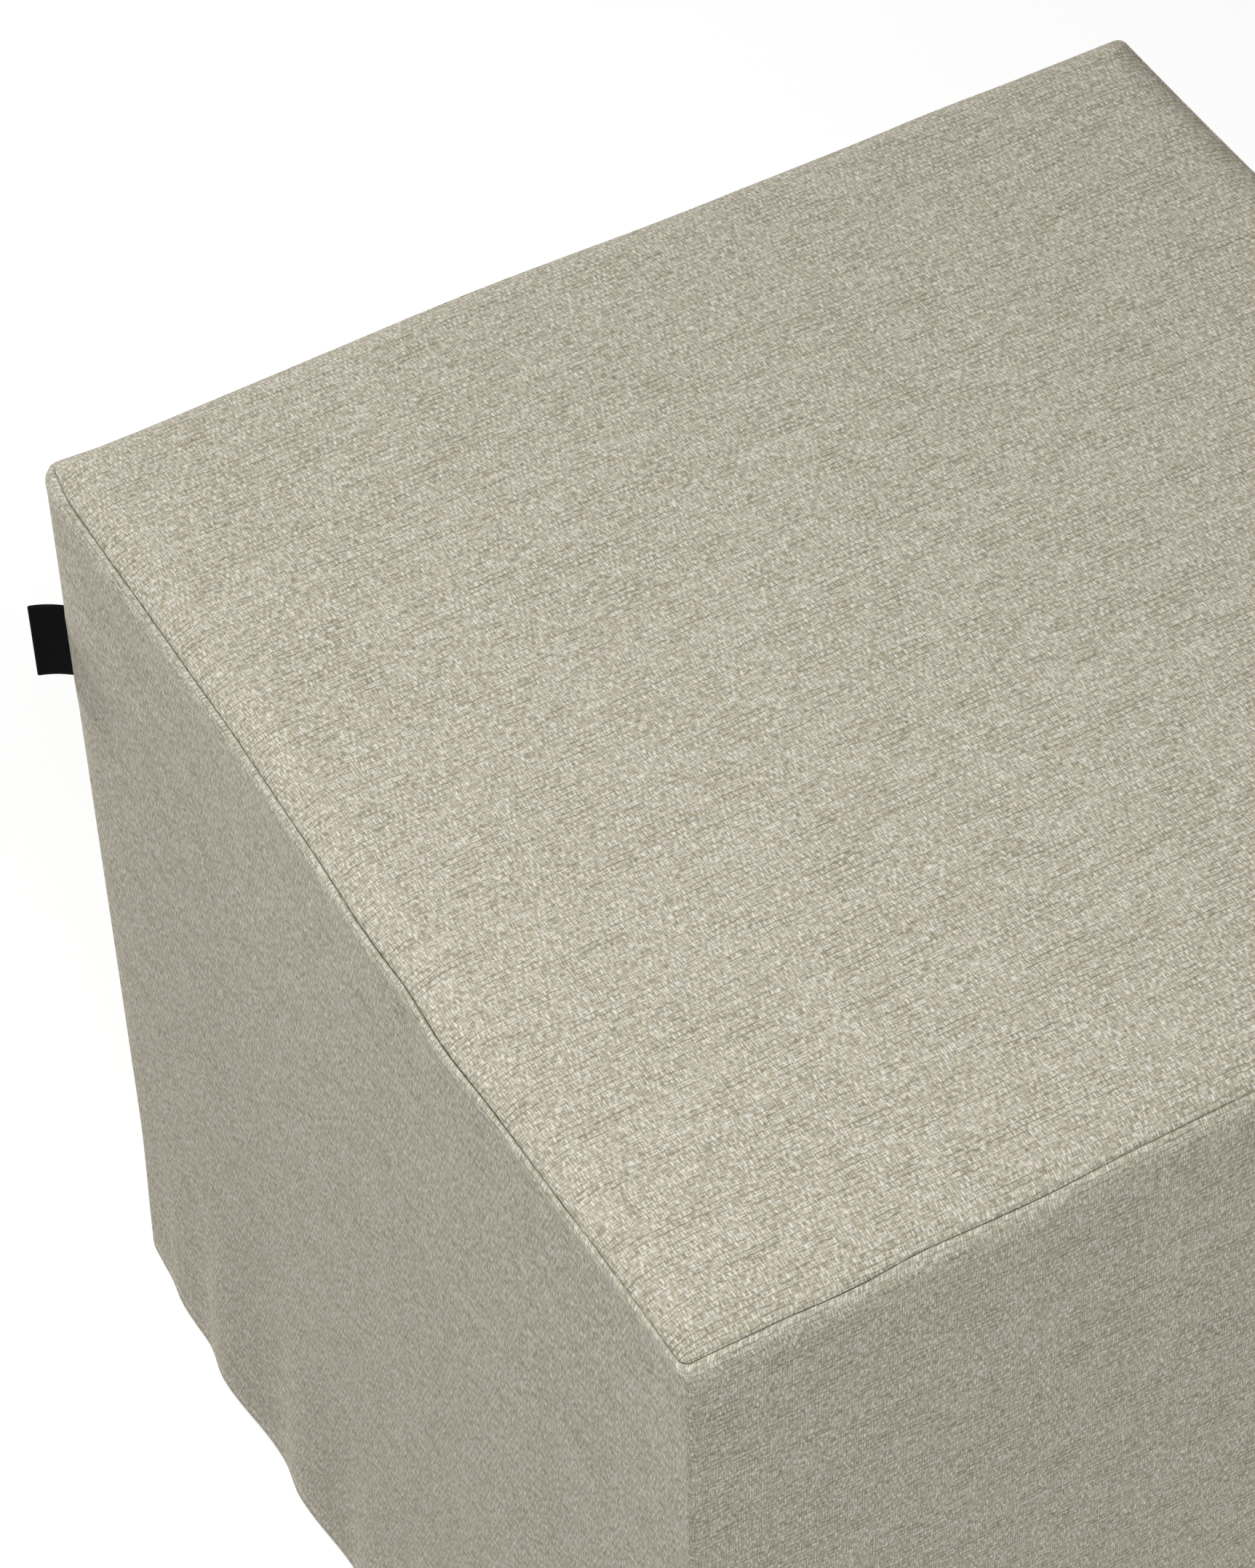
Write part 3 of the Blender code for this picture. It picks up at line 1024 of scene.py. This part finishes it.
    def between(self, graph: Graph, at: Weave, tone: Socket) -> Socket:
        """Paints shade into the hollows between the threads and light onto their backs, and draws
        lines of painted shade into the grooves between pairs of wefts.

        Args:
            graph: The material's tree.
            at: The place on the cloth.
            tone: The threads' tone.

        Returns:
            The new tone.
        """
        # Painted shade in the hollows and painted light on the threads' backs, deeper in patches
        patch = graph.grained(*graph.laid_flat(), PATCHES)
        deep = graph.math("MULTIPLY", graph.math("MULTIPLY_ADD", patch, *PATCH_SHARES), self.hollow_shade)
        tone = graph.math("MULTIPLY_ADD", graph.math("SUBTRACT", at.height, 0.5), deep, tone)
        # Painted shade in the grooves between pairs of wefts, broken up by a noise
        along = graph.math("DIVIDE", at.across, LINE_LENGTH)
        broken = graph.noise(graph.point(along, graph.math("MULTIPLY", at.pair, LINES_APART)))
        line = graph.math("MULTIPLY", graph.within(broken, *LINE_RANGE), at.line)
        return graph.math("MULTIPLY_ADD", line, -self.line, tone)

    def scattered(self, graph: Graph, tone: Socket) -> Socket:
        """Adds what lies over the threads: neps, clouds and dashes.

        Args:
            graph: The material's tree.
            tone: The threads' tone, with its hollows.

        Returns:
            The new tone.
        """
        across, up = graph.laid_flat()
        nep = graph.within(graph.grained(across, up, NEPS), *NEP_RANGE)
        tone = graph.math("MULTIPLY_ADD", nep, self.nep, tone)
        cloud = graph.grained(across, up, CLOUDS)
        spread = graph.sum_of(((cloud, self.cloud), *self.dashes(graph, across, up)))
        return graph.math("ADD", tone, spread)

    def paint_hem_light(self, graph: Graph, tone: Socket) -> Socket:
        """Paints light along the hem: a painted highlight on its ridge and painted shade along the
        sewn groove above it, where the cloth has them.

        Args:
            graph: The material's tree.
            tone: The cloth's tone.

        Returns:
            The new tone.
        """
        if not self.hem_painted_highlight:
            return tone
        height = graph.upright()
        # Each hill is a band of painted highlight or painted shade at its height
        for (middle, half_width), painted_light in zip(HEM_PAINTED_LIGHT, (self.hem_painted_highlight, -self.hem_painted_shade)):
            line = graph.hill(height, middle, half_width)
            tone = graph.math("MULTIPLY_ADD", line, painted_light, tone)
        return tone

    def material(self) -> bpy.types.Material:
        """Builds the cloth: its tone as a colour with a drifting hue, and its threads' relief.

        Returns:
            The new material.
        """
        graph = Graph(self.name)
        at = self.weave(graph)
        tone = self.between(graph, at, self.threads(graph, at))
        tone = self.paint_hem_light(graph, self.scattered(graph, tone))
        tone = graph.math("ADD", tone, 0.5)
        colour = graph.ramp(tone, ((0.0, self.dark), (0.5, self.middle), (1.0, self.light)))
        hue = graph.grained(at.across, at.up, HUES)
        tint = graph.ramp(hue, tuple(zip(HUE_RANGE, (self.warm_tint, self.cool_tint))))
        graph.feed(graph.shader.inputs["Base Color"], graph.tinted(colour, tint))
        graph.raise_by(graph.math("MULTIPLY_ADD", tone, self.tone_relief, at.height), self.relief)
        graph.set_shader(Roughness=self.roughness, Specular_IOR_Level=self.sheen)
        return graph.material


@dataclass(frozen=True)
class RibbedRibbon:
    """A plain black woven ribbon with fine ribs across it.

    Cross_share is how wide a rib's breaks are against the rib, and the painted light is how many
    times as light a rib's back is painted as its foot: a painted highlight on the ribs' backs.
    """

    name: str
    colour: Colour
    rib: float
    relief: float
    roughness: float
    cross_share: float = 0.8
    painted_light: float = 2.2
    sheen: float = 0.08

    def material(self) -> bpy.types.Material:
        """Builds the ribbon: ribs along its height, broken by a thread's width across, and a
        painted highlight on the ribs' backs.

        Returns:
            The new material.
        """
        graph = Graph(self.name)
        along, up = graph.laid_flat()
        ribs = graph.math("SINE", graph.math("MULTIPLY", up, 2 * np.pi / self.rib))
        width = self.cross_share * self.rib
        cross = graph.math("SINE", graph.math("MULTIPLY", along, 2 * np.pi / width))
        height = graph.math("MULTIPLY_ADD", graph.math("MULTIPLY", ribs, cross), 0.5, 0.5)
        # Painted highlight: the colour on the ribs' backs is raised above the foot's
        light = tuple(self.painted_light * part for part in self.colour)
        colour = graph.ramp(height, ((0.0, self.colour), (1.0, light)))
        graph.feed(graph.shader.inputs["Base Color"], colour)
        graph.raise_by(height, self.relief)
        graph.set_shader(Roughness=self.roughness, Specular_IOR_Level=self.sheen)
        return graph.material


# ---------------------------------------------------------------- the pieces


@dataclass(frozen=True)
class TopPanel:
    """The square of cloth on the top, rolled over all four edges to the shoulder seam."""

    form: CoverForm
    cloth: MelangeWeave
    flat_steps: int = 76
    roll_steps: int = 12
    lip_steps: int = 5
    least_radius: float = 1e-6

    def rings(self) -> Rings:
        """The rings from the middle of the top to the seam: level ones, then those of the roll.

        Returns:
            The rings.
        """
        form = self.form
        flat_half = form.half_width - form.shoulder_reach
        share = np.arange(self.flat_steps) / self.flat_steps
        half = flat_half * share
        radius = np.maximum(form.seam_radius * (half / form.half_width) ** 2, self.least_radius)
        level = Rings(half, np.full_like(half, form.top_height), radius, np.zeros_like(half), half)
        edge = form.seam_angle + form.seam_gap / 2 / form.seam_rate()
        lip = edge + form.seam_lip / form.seam_rate()
        down_to_lip = runs((radians(90), lip, self.roll_steps))
        angle = np.append(down_to_lip, np.linspace(lip, edge, self.lip_steps))
        return end_to_end(level, form.roll(angle, form.lip((angle - edge) * form.seam_rate())))

    def points(self) -> tuple[Array, Array]:
        """The panel's grid, each square ring of which goes to one ring of the roll.

        Returns:
            The points, and their places on the cloth laid flat.
        """
        rings = self.rings()
        last = len(rings.half) - 1
        steps = np.arange(-last, last + 1)
        row, column = np.meshgrid(steps[::-1], steps, indexing="ij")
        index = np.maximum(np.abs(column), np.abs(row))
        ring = Rings(*(values[index] for values in rings))
        share = (ring.half / self.form.half_width) ** self.form.inward_fade
        points = np.zeros((*index.shape, 3))
        away = np.zeros((*index.shape, 2))
        done = index == 0
        points[done] = (0.0, 0.0, self.form.top_height)
        for side in Side:
            mine = (column * side.out[0] + row * side.out[1] == index) & ~done
            step = (column * side.along[0] + row * side.along[1])[mine]
            own = Rings(*(values[mine] for values in ring))
            fraction = np.sign(step) * rings.flat[np.abs(step)] / own.flat
            points[mine] = self.form.on_side(side, fraction, own, share[mine])
            turn = self.form.rounded(side, fraction, own)[2]
            away[mine] = np.outer(np.cos(turn), side.out) + np.outer(np.sin(turn), side.along)
            done |= mine
        laid = points[..., :2] + (ring.flat - ring.half)[..., None] * away
        points[..., 2] += self.form.crown(points[..., 0], points[..., 1])
        return points, laid

    def build(self) -> bpy.types.Object:
        """Returns:
            The finished panel.
        """
        points, laid = self.points()
        panel = grid_object("top_panel_cloth", points, laid)
        thicken(panel, self.form.thickness, -1)
        place(panel, self.cloth.material(), "top_panel", "cloth")
        return panel


class HemRidge(NamedTuple):
    """A low ridge along the hem, or a groove: its height up the side, half width and rise."""

    middle: float
    half_width: float
    rise: float

    def at(self, height: Array) -> Array:
        """How far it makes the cloth stand out: a bump about its middle."""
        return self.rise * bump((height - self.middle) / self.half_width)


@dataclass(frozen=True)
class SideBand:
    """One strip of cloth round all four sides, its hem turned under and its ends seamed.

    The hem turns under at hem_roll, and its edge lies hem_inset in. From hem_top down the rings are
    closer, for the hem's ridge and groove. Between slot_low and slot_high the closing seam is
    slot_width wide, for the label.
    """

    form: CoverForm
    cloth: MelangeWeave
    hem_roll: float = 0.004
    hem_inset: float = 0.009
    hem_fold: HemRidge = HemRidge(0.0065, 0.0022, 0.00012)
    hem_stitching: HemRidge = HemRidge(0.0096, 0.0016, -0.00020)
    hem_top: float = 0.0125
    side_step: float = 0.0040
    corner_steps: int = 8
    lip_steps: int = 5
    roll_steps: int = 8
    upright_steps: int = 62
    sewn_steps: int = 16
    hem_steps: int = 8
    slot_width: float = 0.0027
    slot_low: float = 0.3032
    slot_high: float = 0.3354
    slot_ease: float = 0.008

    def rings(self) -> Rings:
        """The rings from the shoulder seam down to the hem's turned edge.

        Returns:
            The rings.
        """
        form = self.form
        edge = form.seam_angle - form.seam_gap / 2 / form.seam_rate()
        lip = edge - form.seam_lip / form.seam_rate()
        angle = runs((edge, lip, self.lip_steps), (lip, 0.0, self.roll_steps))
        shoulder = form.roll(angle, form.lip((edge - angle) * form.seam_rate()))
        below_roll = form.top_height - form.shoulder_drop
        heights = runs(
            (below_roll, self.hem_top, self.upright_steps),
            (self.hem_top, self.hem_roll, self.sewn_steps),
        )
        turn = np.linspace(0.0, radians(90), self.hem_steps)
        inset = np.append(self.hem_roll * (1 - np.cos(turn)), self.hem_inset)
        half = np.concatenate([np.full_like(heights, form.half_width), form.half_width - inset])
        height = np.concatenate([heights, self.hem_roll * (1 - np.sin(turn)), [0.0]])
        half = half + self.hem_fold.at(height) + self.hem_stitching.at(height)
        return end_to_end(shoulder, form.run(half, height, np.ones_like(half)))

    def side_fractions(self, side: Side) -> Array:
        """Places from a corner's middle to just short of the next: close round the corners.

        Args:
            side: The side that is walked along.

        Returns:
            The places, as fractions from -1 on.
        """
        form = self.form
        first, last = (float(form.own_radius(side, end)) / form.half_width for end in (-1, 1))
        count = round((2 - first - last) * form.half_width / self.side_step)
        return runs(
            (-1.0, first - 1, self.corner_steps),
            (first - 1, 1 - last, count),
            (1 - last, 1.0, self.corner_steps),
        )

    def points(self) -> tuple[Array, Array]:
        """The strip's grid, walked from the closing seam once round and back to it.

        Returns:
            The points, and their places on the cloth laid flat.
        """
        form, rings = self.form, self.rings()
        down = Rings(*(values[:, None] for values in rings))
        blocks = [form.on_side(side, self.side_fractions(side)[None, :], down) for side in Side]
        blocks.append(form.on_side(Side.BACK, np.ones((1, 1)), down))
        points = np.concatenate(blocks, axis=1)
        middle = points[len(rings.half) // 2]
        around = lengths(np.hypot(np.diff(middle[:, 0]), np.diff(middle[:, 1])))
        points = form.drawn_in(self.closing_seam(points, around))
        u = np.broadcast_to(around, points.shape[:2])
        v = np.broadcast_to(-rings.flat[:, None], points.shape[:2])
        return points, np.stack([u, v], axis=-1)

    def closing_seam(self, points: Array, around: Array) -> Array:
        """Parts the strip's two ends and sinks their edges, wider where the label comes out.

        Each end moves along the strip by half the gap, less the further it is from the seam, and
        inwards by the seam's lip.

        Args:
            points: The strip's grid, its two ends at the same corner.
            around: Each column's place along the strip.

        Returns:
            The grid with its closing seam.
        """
        form = self.form
        height = points[:, :1, 2]
        above = ease((height - self.slot_low + self.slot_ease) / self.slot_ease)
        below = ease((self.slot_high + self.slot_ease - height) / self.slot_ease)
        gap = form.seam_gap + (self.slot_width - form.seam_gap) * above * below
        out = np.array([-1.0, 1.0]) / np.sqrt(2)
        moved = points.copy()
        for distance, way in ((around, -1.0), (around[-1] - around, 1.0)):
            fade = np.clip(1 - distance / form.closing_radius, 0, 1)[None, :]
            push = gap / 2 * fade * (way / np.sqrt(2))
            sunk = form.lip(distance)[None, :]
            for axis in (0, 1):
                moved[..., axis] += push - sunk * out[axis]
        return moved

    def build(self) -> bpy.types.Object:
        """Returns:
            The finished band.
        """
        points, laid = self.points()
        band = grid_object("side_band_cloth", points, laid)
        thicken(band, self.form.thickness, -1)
        place(band, self.cloth.material(), "side_band", "cloth")
        return band


@dataclass(frozen=True)
class FilledBlock:
    """The firm filled block, bowed and crowned like the cover, its casing seen from below.

    Its top takes the crown from crowned_from of its half height, and its faces' cloth lies
    laid_apart from the next one's.
    """

    form: CoverForm
    casing: MelangeWeave
    side_room: float = 0.0042
    top_room: float = 0.0006
    edge: float = 0.018
    face_steps: int = 26
    edge_steps: int = 7
    crowned_from: float = 0.999
    laid_apart: float = 0.5
    weld_reach: float = 1e-5

    def face(self, axis: int, way: int) -> Array:
        """One face of a cube with rounded edges, as a grid.

        A grid on the cube's face, close at its rim, is clamped to the box inside the edges, and
        each point is then moved out from there by the edge's radius towards its old place.

        Args:
            axis: The axis that the face is square to.
            way: -1 or 1, the end of that axis.

        Returns:
            Rows by columns by xyz, in the range of the block's box about its middle.
        """
        half = self.half_box()
        rim = np.tan(np.linspace(0, radians(45), self.edge_steps + 1))[1:]
        grids = []
        for other in (1, 2):
            reach = half[(axis + other) % 3] - self.edge
            middle = np.linspace(-reach, reach, self.face_steps + 1)
            rims = (-reach - self.edge * rim[::-1], reach + self.edge * rim)
            grids.append(np.concatenate([rims[0], middle, rims[1]]))
        if way < 0:
            grids[0] = grids[0][::-1]
        first, second = np.meshgrid(grids[0], grids[1], indexing="ij")
        points = np.empty((*first.shape, 3))
        points[..., axis] = way * half[axis]
        points[..., (axis + 1) % 3] = first
        points[..., (axis + 2) % 3] = second
        inner = np.clip(points, self.edge - half, half - self.edge)
        away = points - inner
        return inner + self.edge * away / np.linalg.norm(away, axis=-1, keepdims=True)

    def half_box(self) -> Array:
        """Half the block's width, depth and height.

        Returns:
            The three halves.
        """
        form = self.form
        half = form.half_width - form.thickness - self.side_room
        return np.array([half, half, (form.top_height - form.thickness - self.top_room) / 2])

    def bowed(self, points: Array) -> Array:
        """A face's points with the cover's broad swells and its crown, raised onto the floor.

        Args:
            points: The face's points, about the middle of the block's box.

        Returns:
            The moved points.
        """
        half = self.half_box()
        share = points / half
        height = points[..., 2] + half[2]
        moved = points.copy()
        for side in Side:
            out = share[..., 0] * side.out[0] + share[..., 1] * side.out[1]
            spot = points[..., 0] * abs(side.along[0]) + points[..., 1] * abs(side.along[1])
            bow = self.form.swelling(side, spot, height, half[0] - np.abs(spot), BROAD)
            bow = bow * np.clip(out, 0, None) ** self.form.inward_fade
            for axis in (0, 1):
                moved[..., axis] += side.out[axis] * bow
        crown = self.form.crown(points[..., 0], points[..., 1])
        moved[..., 2] = height + np.where(share[..., 2] > self.crowned_from, crown, 0.0)
        return moved

    def build(self) -> bpy.types.Object:
        """Returns:
            The finished block.
        """
        pieces = []
        ends = [(axis, way) for axis in range(3) for way in (-1, 1)]
        for number, (axis, way) in enumerate(ends):
            points = self.face(axis, way)
            apart = points[..., 1] + self.laid_apart * number
            laid = np.stack([points[..., 0] + points[..., 2], apart], axis=-1)
            pieces.append(grid_object(f"face_{number}", self.bowed(points), laid))
        block = self.welded(pieces)
        place(block, self.casing.material(), "filled_block", "lining")
        return block

    def welded(self, pieces: list[bpy.types.Object]) -> bpy.types.Object:
        """Joins the faces into one closed piece.

        Args:
            pieces: The six faces.

        Returns:
            The welded block.
        """
        block = pieces[0]
        with bpy.context.temp_override(active_object=block, selected_editable_objects=pieces):
            bpy.ops.object.join()
        mesh = bmesh.new()
        mesh.from_mesh(block.data)
        bmesh.ops.remove_doubles(mesh, verts=mesh.verts, dist=self.weld_reach)
        bmesh.ops.recalc_face_normals(mesh, faces=mesh.faces)
        mesh.to_mesh(block.data)
        mesh.free()
        block.name = block.data.name = "block_casing"
        return block


@dataclass(frozen=True)
class FoldedLabel:
    """A plain black ribbon, folded double, that leaves the closing seam and leans to the left.

    It starts root inside the closing corner's face, at its heading, and bends by turn over its
    length. Its upper and lower edges rise by arch towards the fold.
    """

    form: CoverForm
    ribbon: RibbedRibbon
    layer: float = 0.0006
    slit: float = 0.0003
    length: float = 0.0142
    root: float = 0.0018
    low: float = 0.3038
    high: float = 0.3348
    heading: float = radians(135)
    turn: float = radians(26)
    arch: float = 0.0004
    leg_steps: int = 16
    fold_steps: int = 10
    height_steps: int = 16

    def path(self) -> Array:
        """The ribbon's line in plan: out along a bend, round a tight half circle and back.

        Returns:
            The points' x and y.
        """
        spread = (self.layer + self.slit) / 2
        out = self.form.half_width - self.form.closing_radius
        out += (self.form.closing_radius - self.root) * sin(radians(45))
        headings = self.heading + self.turn * np.arange(self.leg_steps + 1) / self.leg_steps
        stride = self.length / self.leg_steps
        steps = stride * np.stack([np.cos(headings[1:]), np.sin(headings[1:])], axis=-1)
        middle = np.concatenate([[[-out, out]], np.array([-out, out]) + np.cumsum(steps, axis=0)])
        square = np.stack([-np.sin(headings), np.cos(headings)], axis=-1) * spread
        fold = headings[-1] + np.linspace(radians(90), radians(-90), self.fold_steps + 1)[1:-1]
        round_it = middle[-1] + spread * np.stack([np.cos(fold), np.sin(fold)], axis=-1)
        return np.concatenate([middle + square, round_it, (middle - square)[::-1]])

    def build(self) -> bpy.types.Object:
        """Returns:
            The finished label.
        """
        path = self.path()
        along = lengths(np.hypot(*np.diff(path, axis=0).T))
        share = np.linspace(1.0, 0.0, self.height_steps + 1)
        rise = self.arch * np.sin(np.pi * along / along[-1])
        heights = self.low + share[:, None] * (self.high - self.low) + rise[None, :]
        points = np.empty((*heights.shape, 3))
        points[..., :2] = path[None, :, :]
        points[..., 2] = heights
        laid = np.stack(np.broadcast_arrays(along[None, :], heights), axis=-1)
        label = grid_object("label_ribbon", self.form.drawn_in(points), laid)
        thicken(label, self.layer, 0)
        place(label, self.ribbon.material(), "folded_label", "label")
        return label


# ---------------------------------------------------------------- the studio


class Lamp(NamedTuple):
    """A soft square lamp, aimed at the pouf: its name, its place, its side and its watts."""

    name: str
    place: Place
    size: float
    power: float


@dataclass(frozen=True)
class Studio:
    """A plain pale floor, a soft sky with four soft lamps, and the photo's camera."""

    eye: Place = (-0.58127, -0.898407, 1.533403)
    forward: Place = (0.312573, 0.586176, -0.747460)
    right: Place = (0.870827, -0.491140, -0.021001)
    focal_pixels: float = 7192.4
    sensor: float = 36.0
    floor_size: float = 12.0
    floor_colour: Colour = (0.60, 0.60, 0.60)
    floor_glow: float = 0.495
    sky: float = 0.10
    aim: Place = (0.0, 0.0, 0.3)
    lamps: tuple[Lamp, ...] = (
        Lamp("low behind", (-0.670, 2.901, 0.666), 0.5, 61.3),
        Lamp("high right front", (1.061, -1.837, 2.421), 1.2, 40.0),
        Lamp("near left", (-0.563, 0.000, 1.360), 0.8, 10.1),
        Lamp("near front left", (-0.600, -0.600, 1.300), 0.6, 3.7),
    )

    def camera(self) -> None:
        """Sets the camera from its eye, its line of sight and the way to the picture's right."""
        data = bpy.data.cameras.new("photo_camera")
        data.sensor_fit = "VERTICAL"
        data.sensor_height = self.sensor
        data.lens = self.focal_pixels * self.sensor / PHOTO_SIZE[1]
        camera = bpy.data.objects.new("photo_camera", data)
        forward = Vector(self.forward).normalized()
        right = Vector(self.right)
        right = (right - forward * right.dot(forward)).normalized()
        turned = Matrix((right, right.cross(forward), -forward)).transposed().to_4x4()
        camera.matrix_world = Matrix.Translation(self.eye) @ turned
        bpy.context.scene.collection.objects.link(camera)
        bpy.context.scene.camera = camera

    def floor(self) -> None:
        """Lays the floor."""
        half = self.floor_size / 2
        row, column = np.meshgrid([half, -half], [-half, half], indexing="ij")
        points = np.stack([column, row, np.zeros_like(row)], axis=-1)
        floor = grid_object("floor", points)
        graph = Graph("pale floor")
        graph.feed(graph.shader.inputs["Base Color"], (*self.floor_colour, 1.0))
        graph.feed(graph.shader.inputs["Emission Color"], (1.0, 1.0, 1.0, 1.0))
        graph.set_shader(Roughness=1.0, Specular_IOR_Level=0.0, Emission_Strength=self.floor_glow)
        floor.data.materials.append(graph.material)

    def light(self) -> None:
        """Lights the scene with an even white sky and the soft square lamps."""
        world = bpy.data.worlds.new("soft sky")
        world.use_nodes = True
        background = world.node_tree.nodes["Background"]
        background.inputs[0].default_value = (1.0, 1.0, 1.0, 1.0)
        background.inputs[1].default_value = self.sky
        bpy.context.scene.world = world
        for lamp in self.lamps:
            data = bpy.data.lights.new(lamp.name, "AREA")
            data.shape = "SQUARE"
            data.size = lamp.size
            data.energy = lamp.power
            holder = bpy.data.objects.new(lamp.name, data)
            holder.location = lamp.place
            aim = Vector(self.aim) - Vector(lamp.place)
            holder.rotation_euler = aim.to_track_quat("-Z", "Y").to_euler()
            holder.visible_camera = False
            bpy.context.scene.collection.objects.link(holder)

    def build(self) -> None:
        """Sets up the studio, with colours shown as they are."""
        self.camera()
        self.floor()
        self.light()
        bpy.context.scene.view_settings.view_transform = "Standard"


# ---------------------------------------------------------------- the pouf's cloths and ribbon


BEIGE = MelangeWeave(
    name="beige melange",
    warp_pitch=0.00083,
    weft_pitch=0.00100,
    dark=(0.200, 0.184, 0.133),
    middle=(0.374, 0.349, 0.276),
    light=(0.610, 0.575, 0.520),
    warm_tint=(1.0, 1.0, 0.95),
    cool_tint=(1.0, 1.0, 1.05),
    weft=Thread(
        own=0.12, float_own=0.35, slub=0.32, slub_length=22.0, fleck=0.60, fleck_length=3.0
    ),
    warp=Thread(
        own=0.10, float_own=0.50, slub=0.32, slub_length=12.0, fleck=0.60, fleck_length=4.0
    ),
    warp_lighter=0.12,
    relief=0.00005,
    # Painted shade between the threads and painted light on their backs
    hollow_shade=0.30,
    line=0.50,
    nep=0.15,
    cloud=0.04,
    dash_width=0.00050,
    dash_length=0.0024,
    warp_dash=0.95,
    weft_dash=0.80,
    roughness=0.95,
    # Painted highlight and painted shade along the hem
    hem_painted_highlight=0.17,
    hem_painted_shade=0.09,
)
CALICO = MelangeWeave(
    name="calico casing",
    warp_pitch=0.00060,
    weft_pitch=0.00060,
    dark=(0.40, 0.38, 0.33),
    middle=(0.60, 0.58, 0.53),
    light=(0.72, 0.70, 0.65),
    warm_tint=(1.0, 1.0, 0.98),
    cool_tint=(1.0, 1.0, 1.02),
    weft=Thread(
        own=0.15, float_own=0.15, slub=0.2, slub_length=12.0, fleck=0.2, fleck_length=3.0
    ),
    warp=Thread(
        own=0.15, float_own=0.15, slub=0.2, slub_length=12.0, fleck=0.2, fleck_length=3.0
    ),
    warp_lighter=0.0,
    relief=0.00012,
    # Painted shade between the threads and painted light on their backs
    hollow_shade=0.25,
    line=0.10,
    nep=0.10,
    cloud=0.10,
    dash_width=0.0007,
    dash_length=0.002,
    warp_dash=0.2,
    weft_dash=0.2,
    roughness=0.9,
)
BLACK_RIBBON = RibbedRibbon(
    name="black ribbon",
    colour=(0.0014, 0.0014, 0.0015),
    rib=0.00055,
    relief=0.00008,
    roughness=0.8,
)


def main() -> None:
    """Builds the pouf and the studio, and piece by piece."""
    logging.basicConfig(level=logging.INFO, format="%(message)s")
    form = CoverForm()
    for maker in (
        FilledBlock(form, CALICO),
        TopPanel(form, BEIGE),
        SideBand(form, BEIGE),
        FoldedLabel(form, BLACK_RIBBON),
    ):
        piece = maker.build()
        log.info("built %s", piece.name)
    Studio().build()
    bpy.context.view_layer.update()


if __name__ == "__main__":
    main()
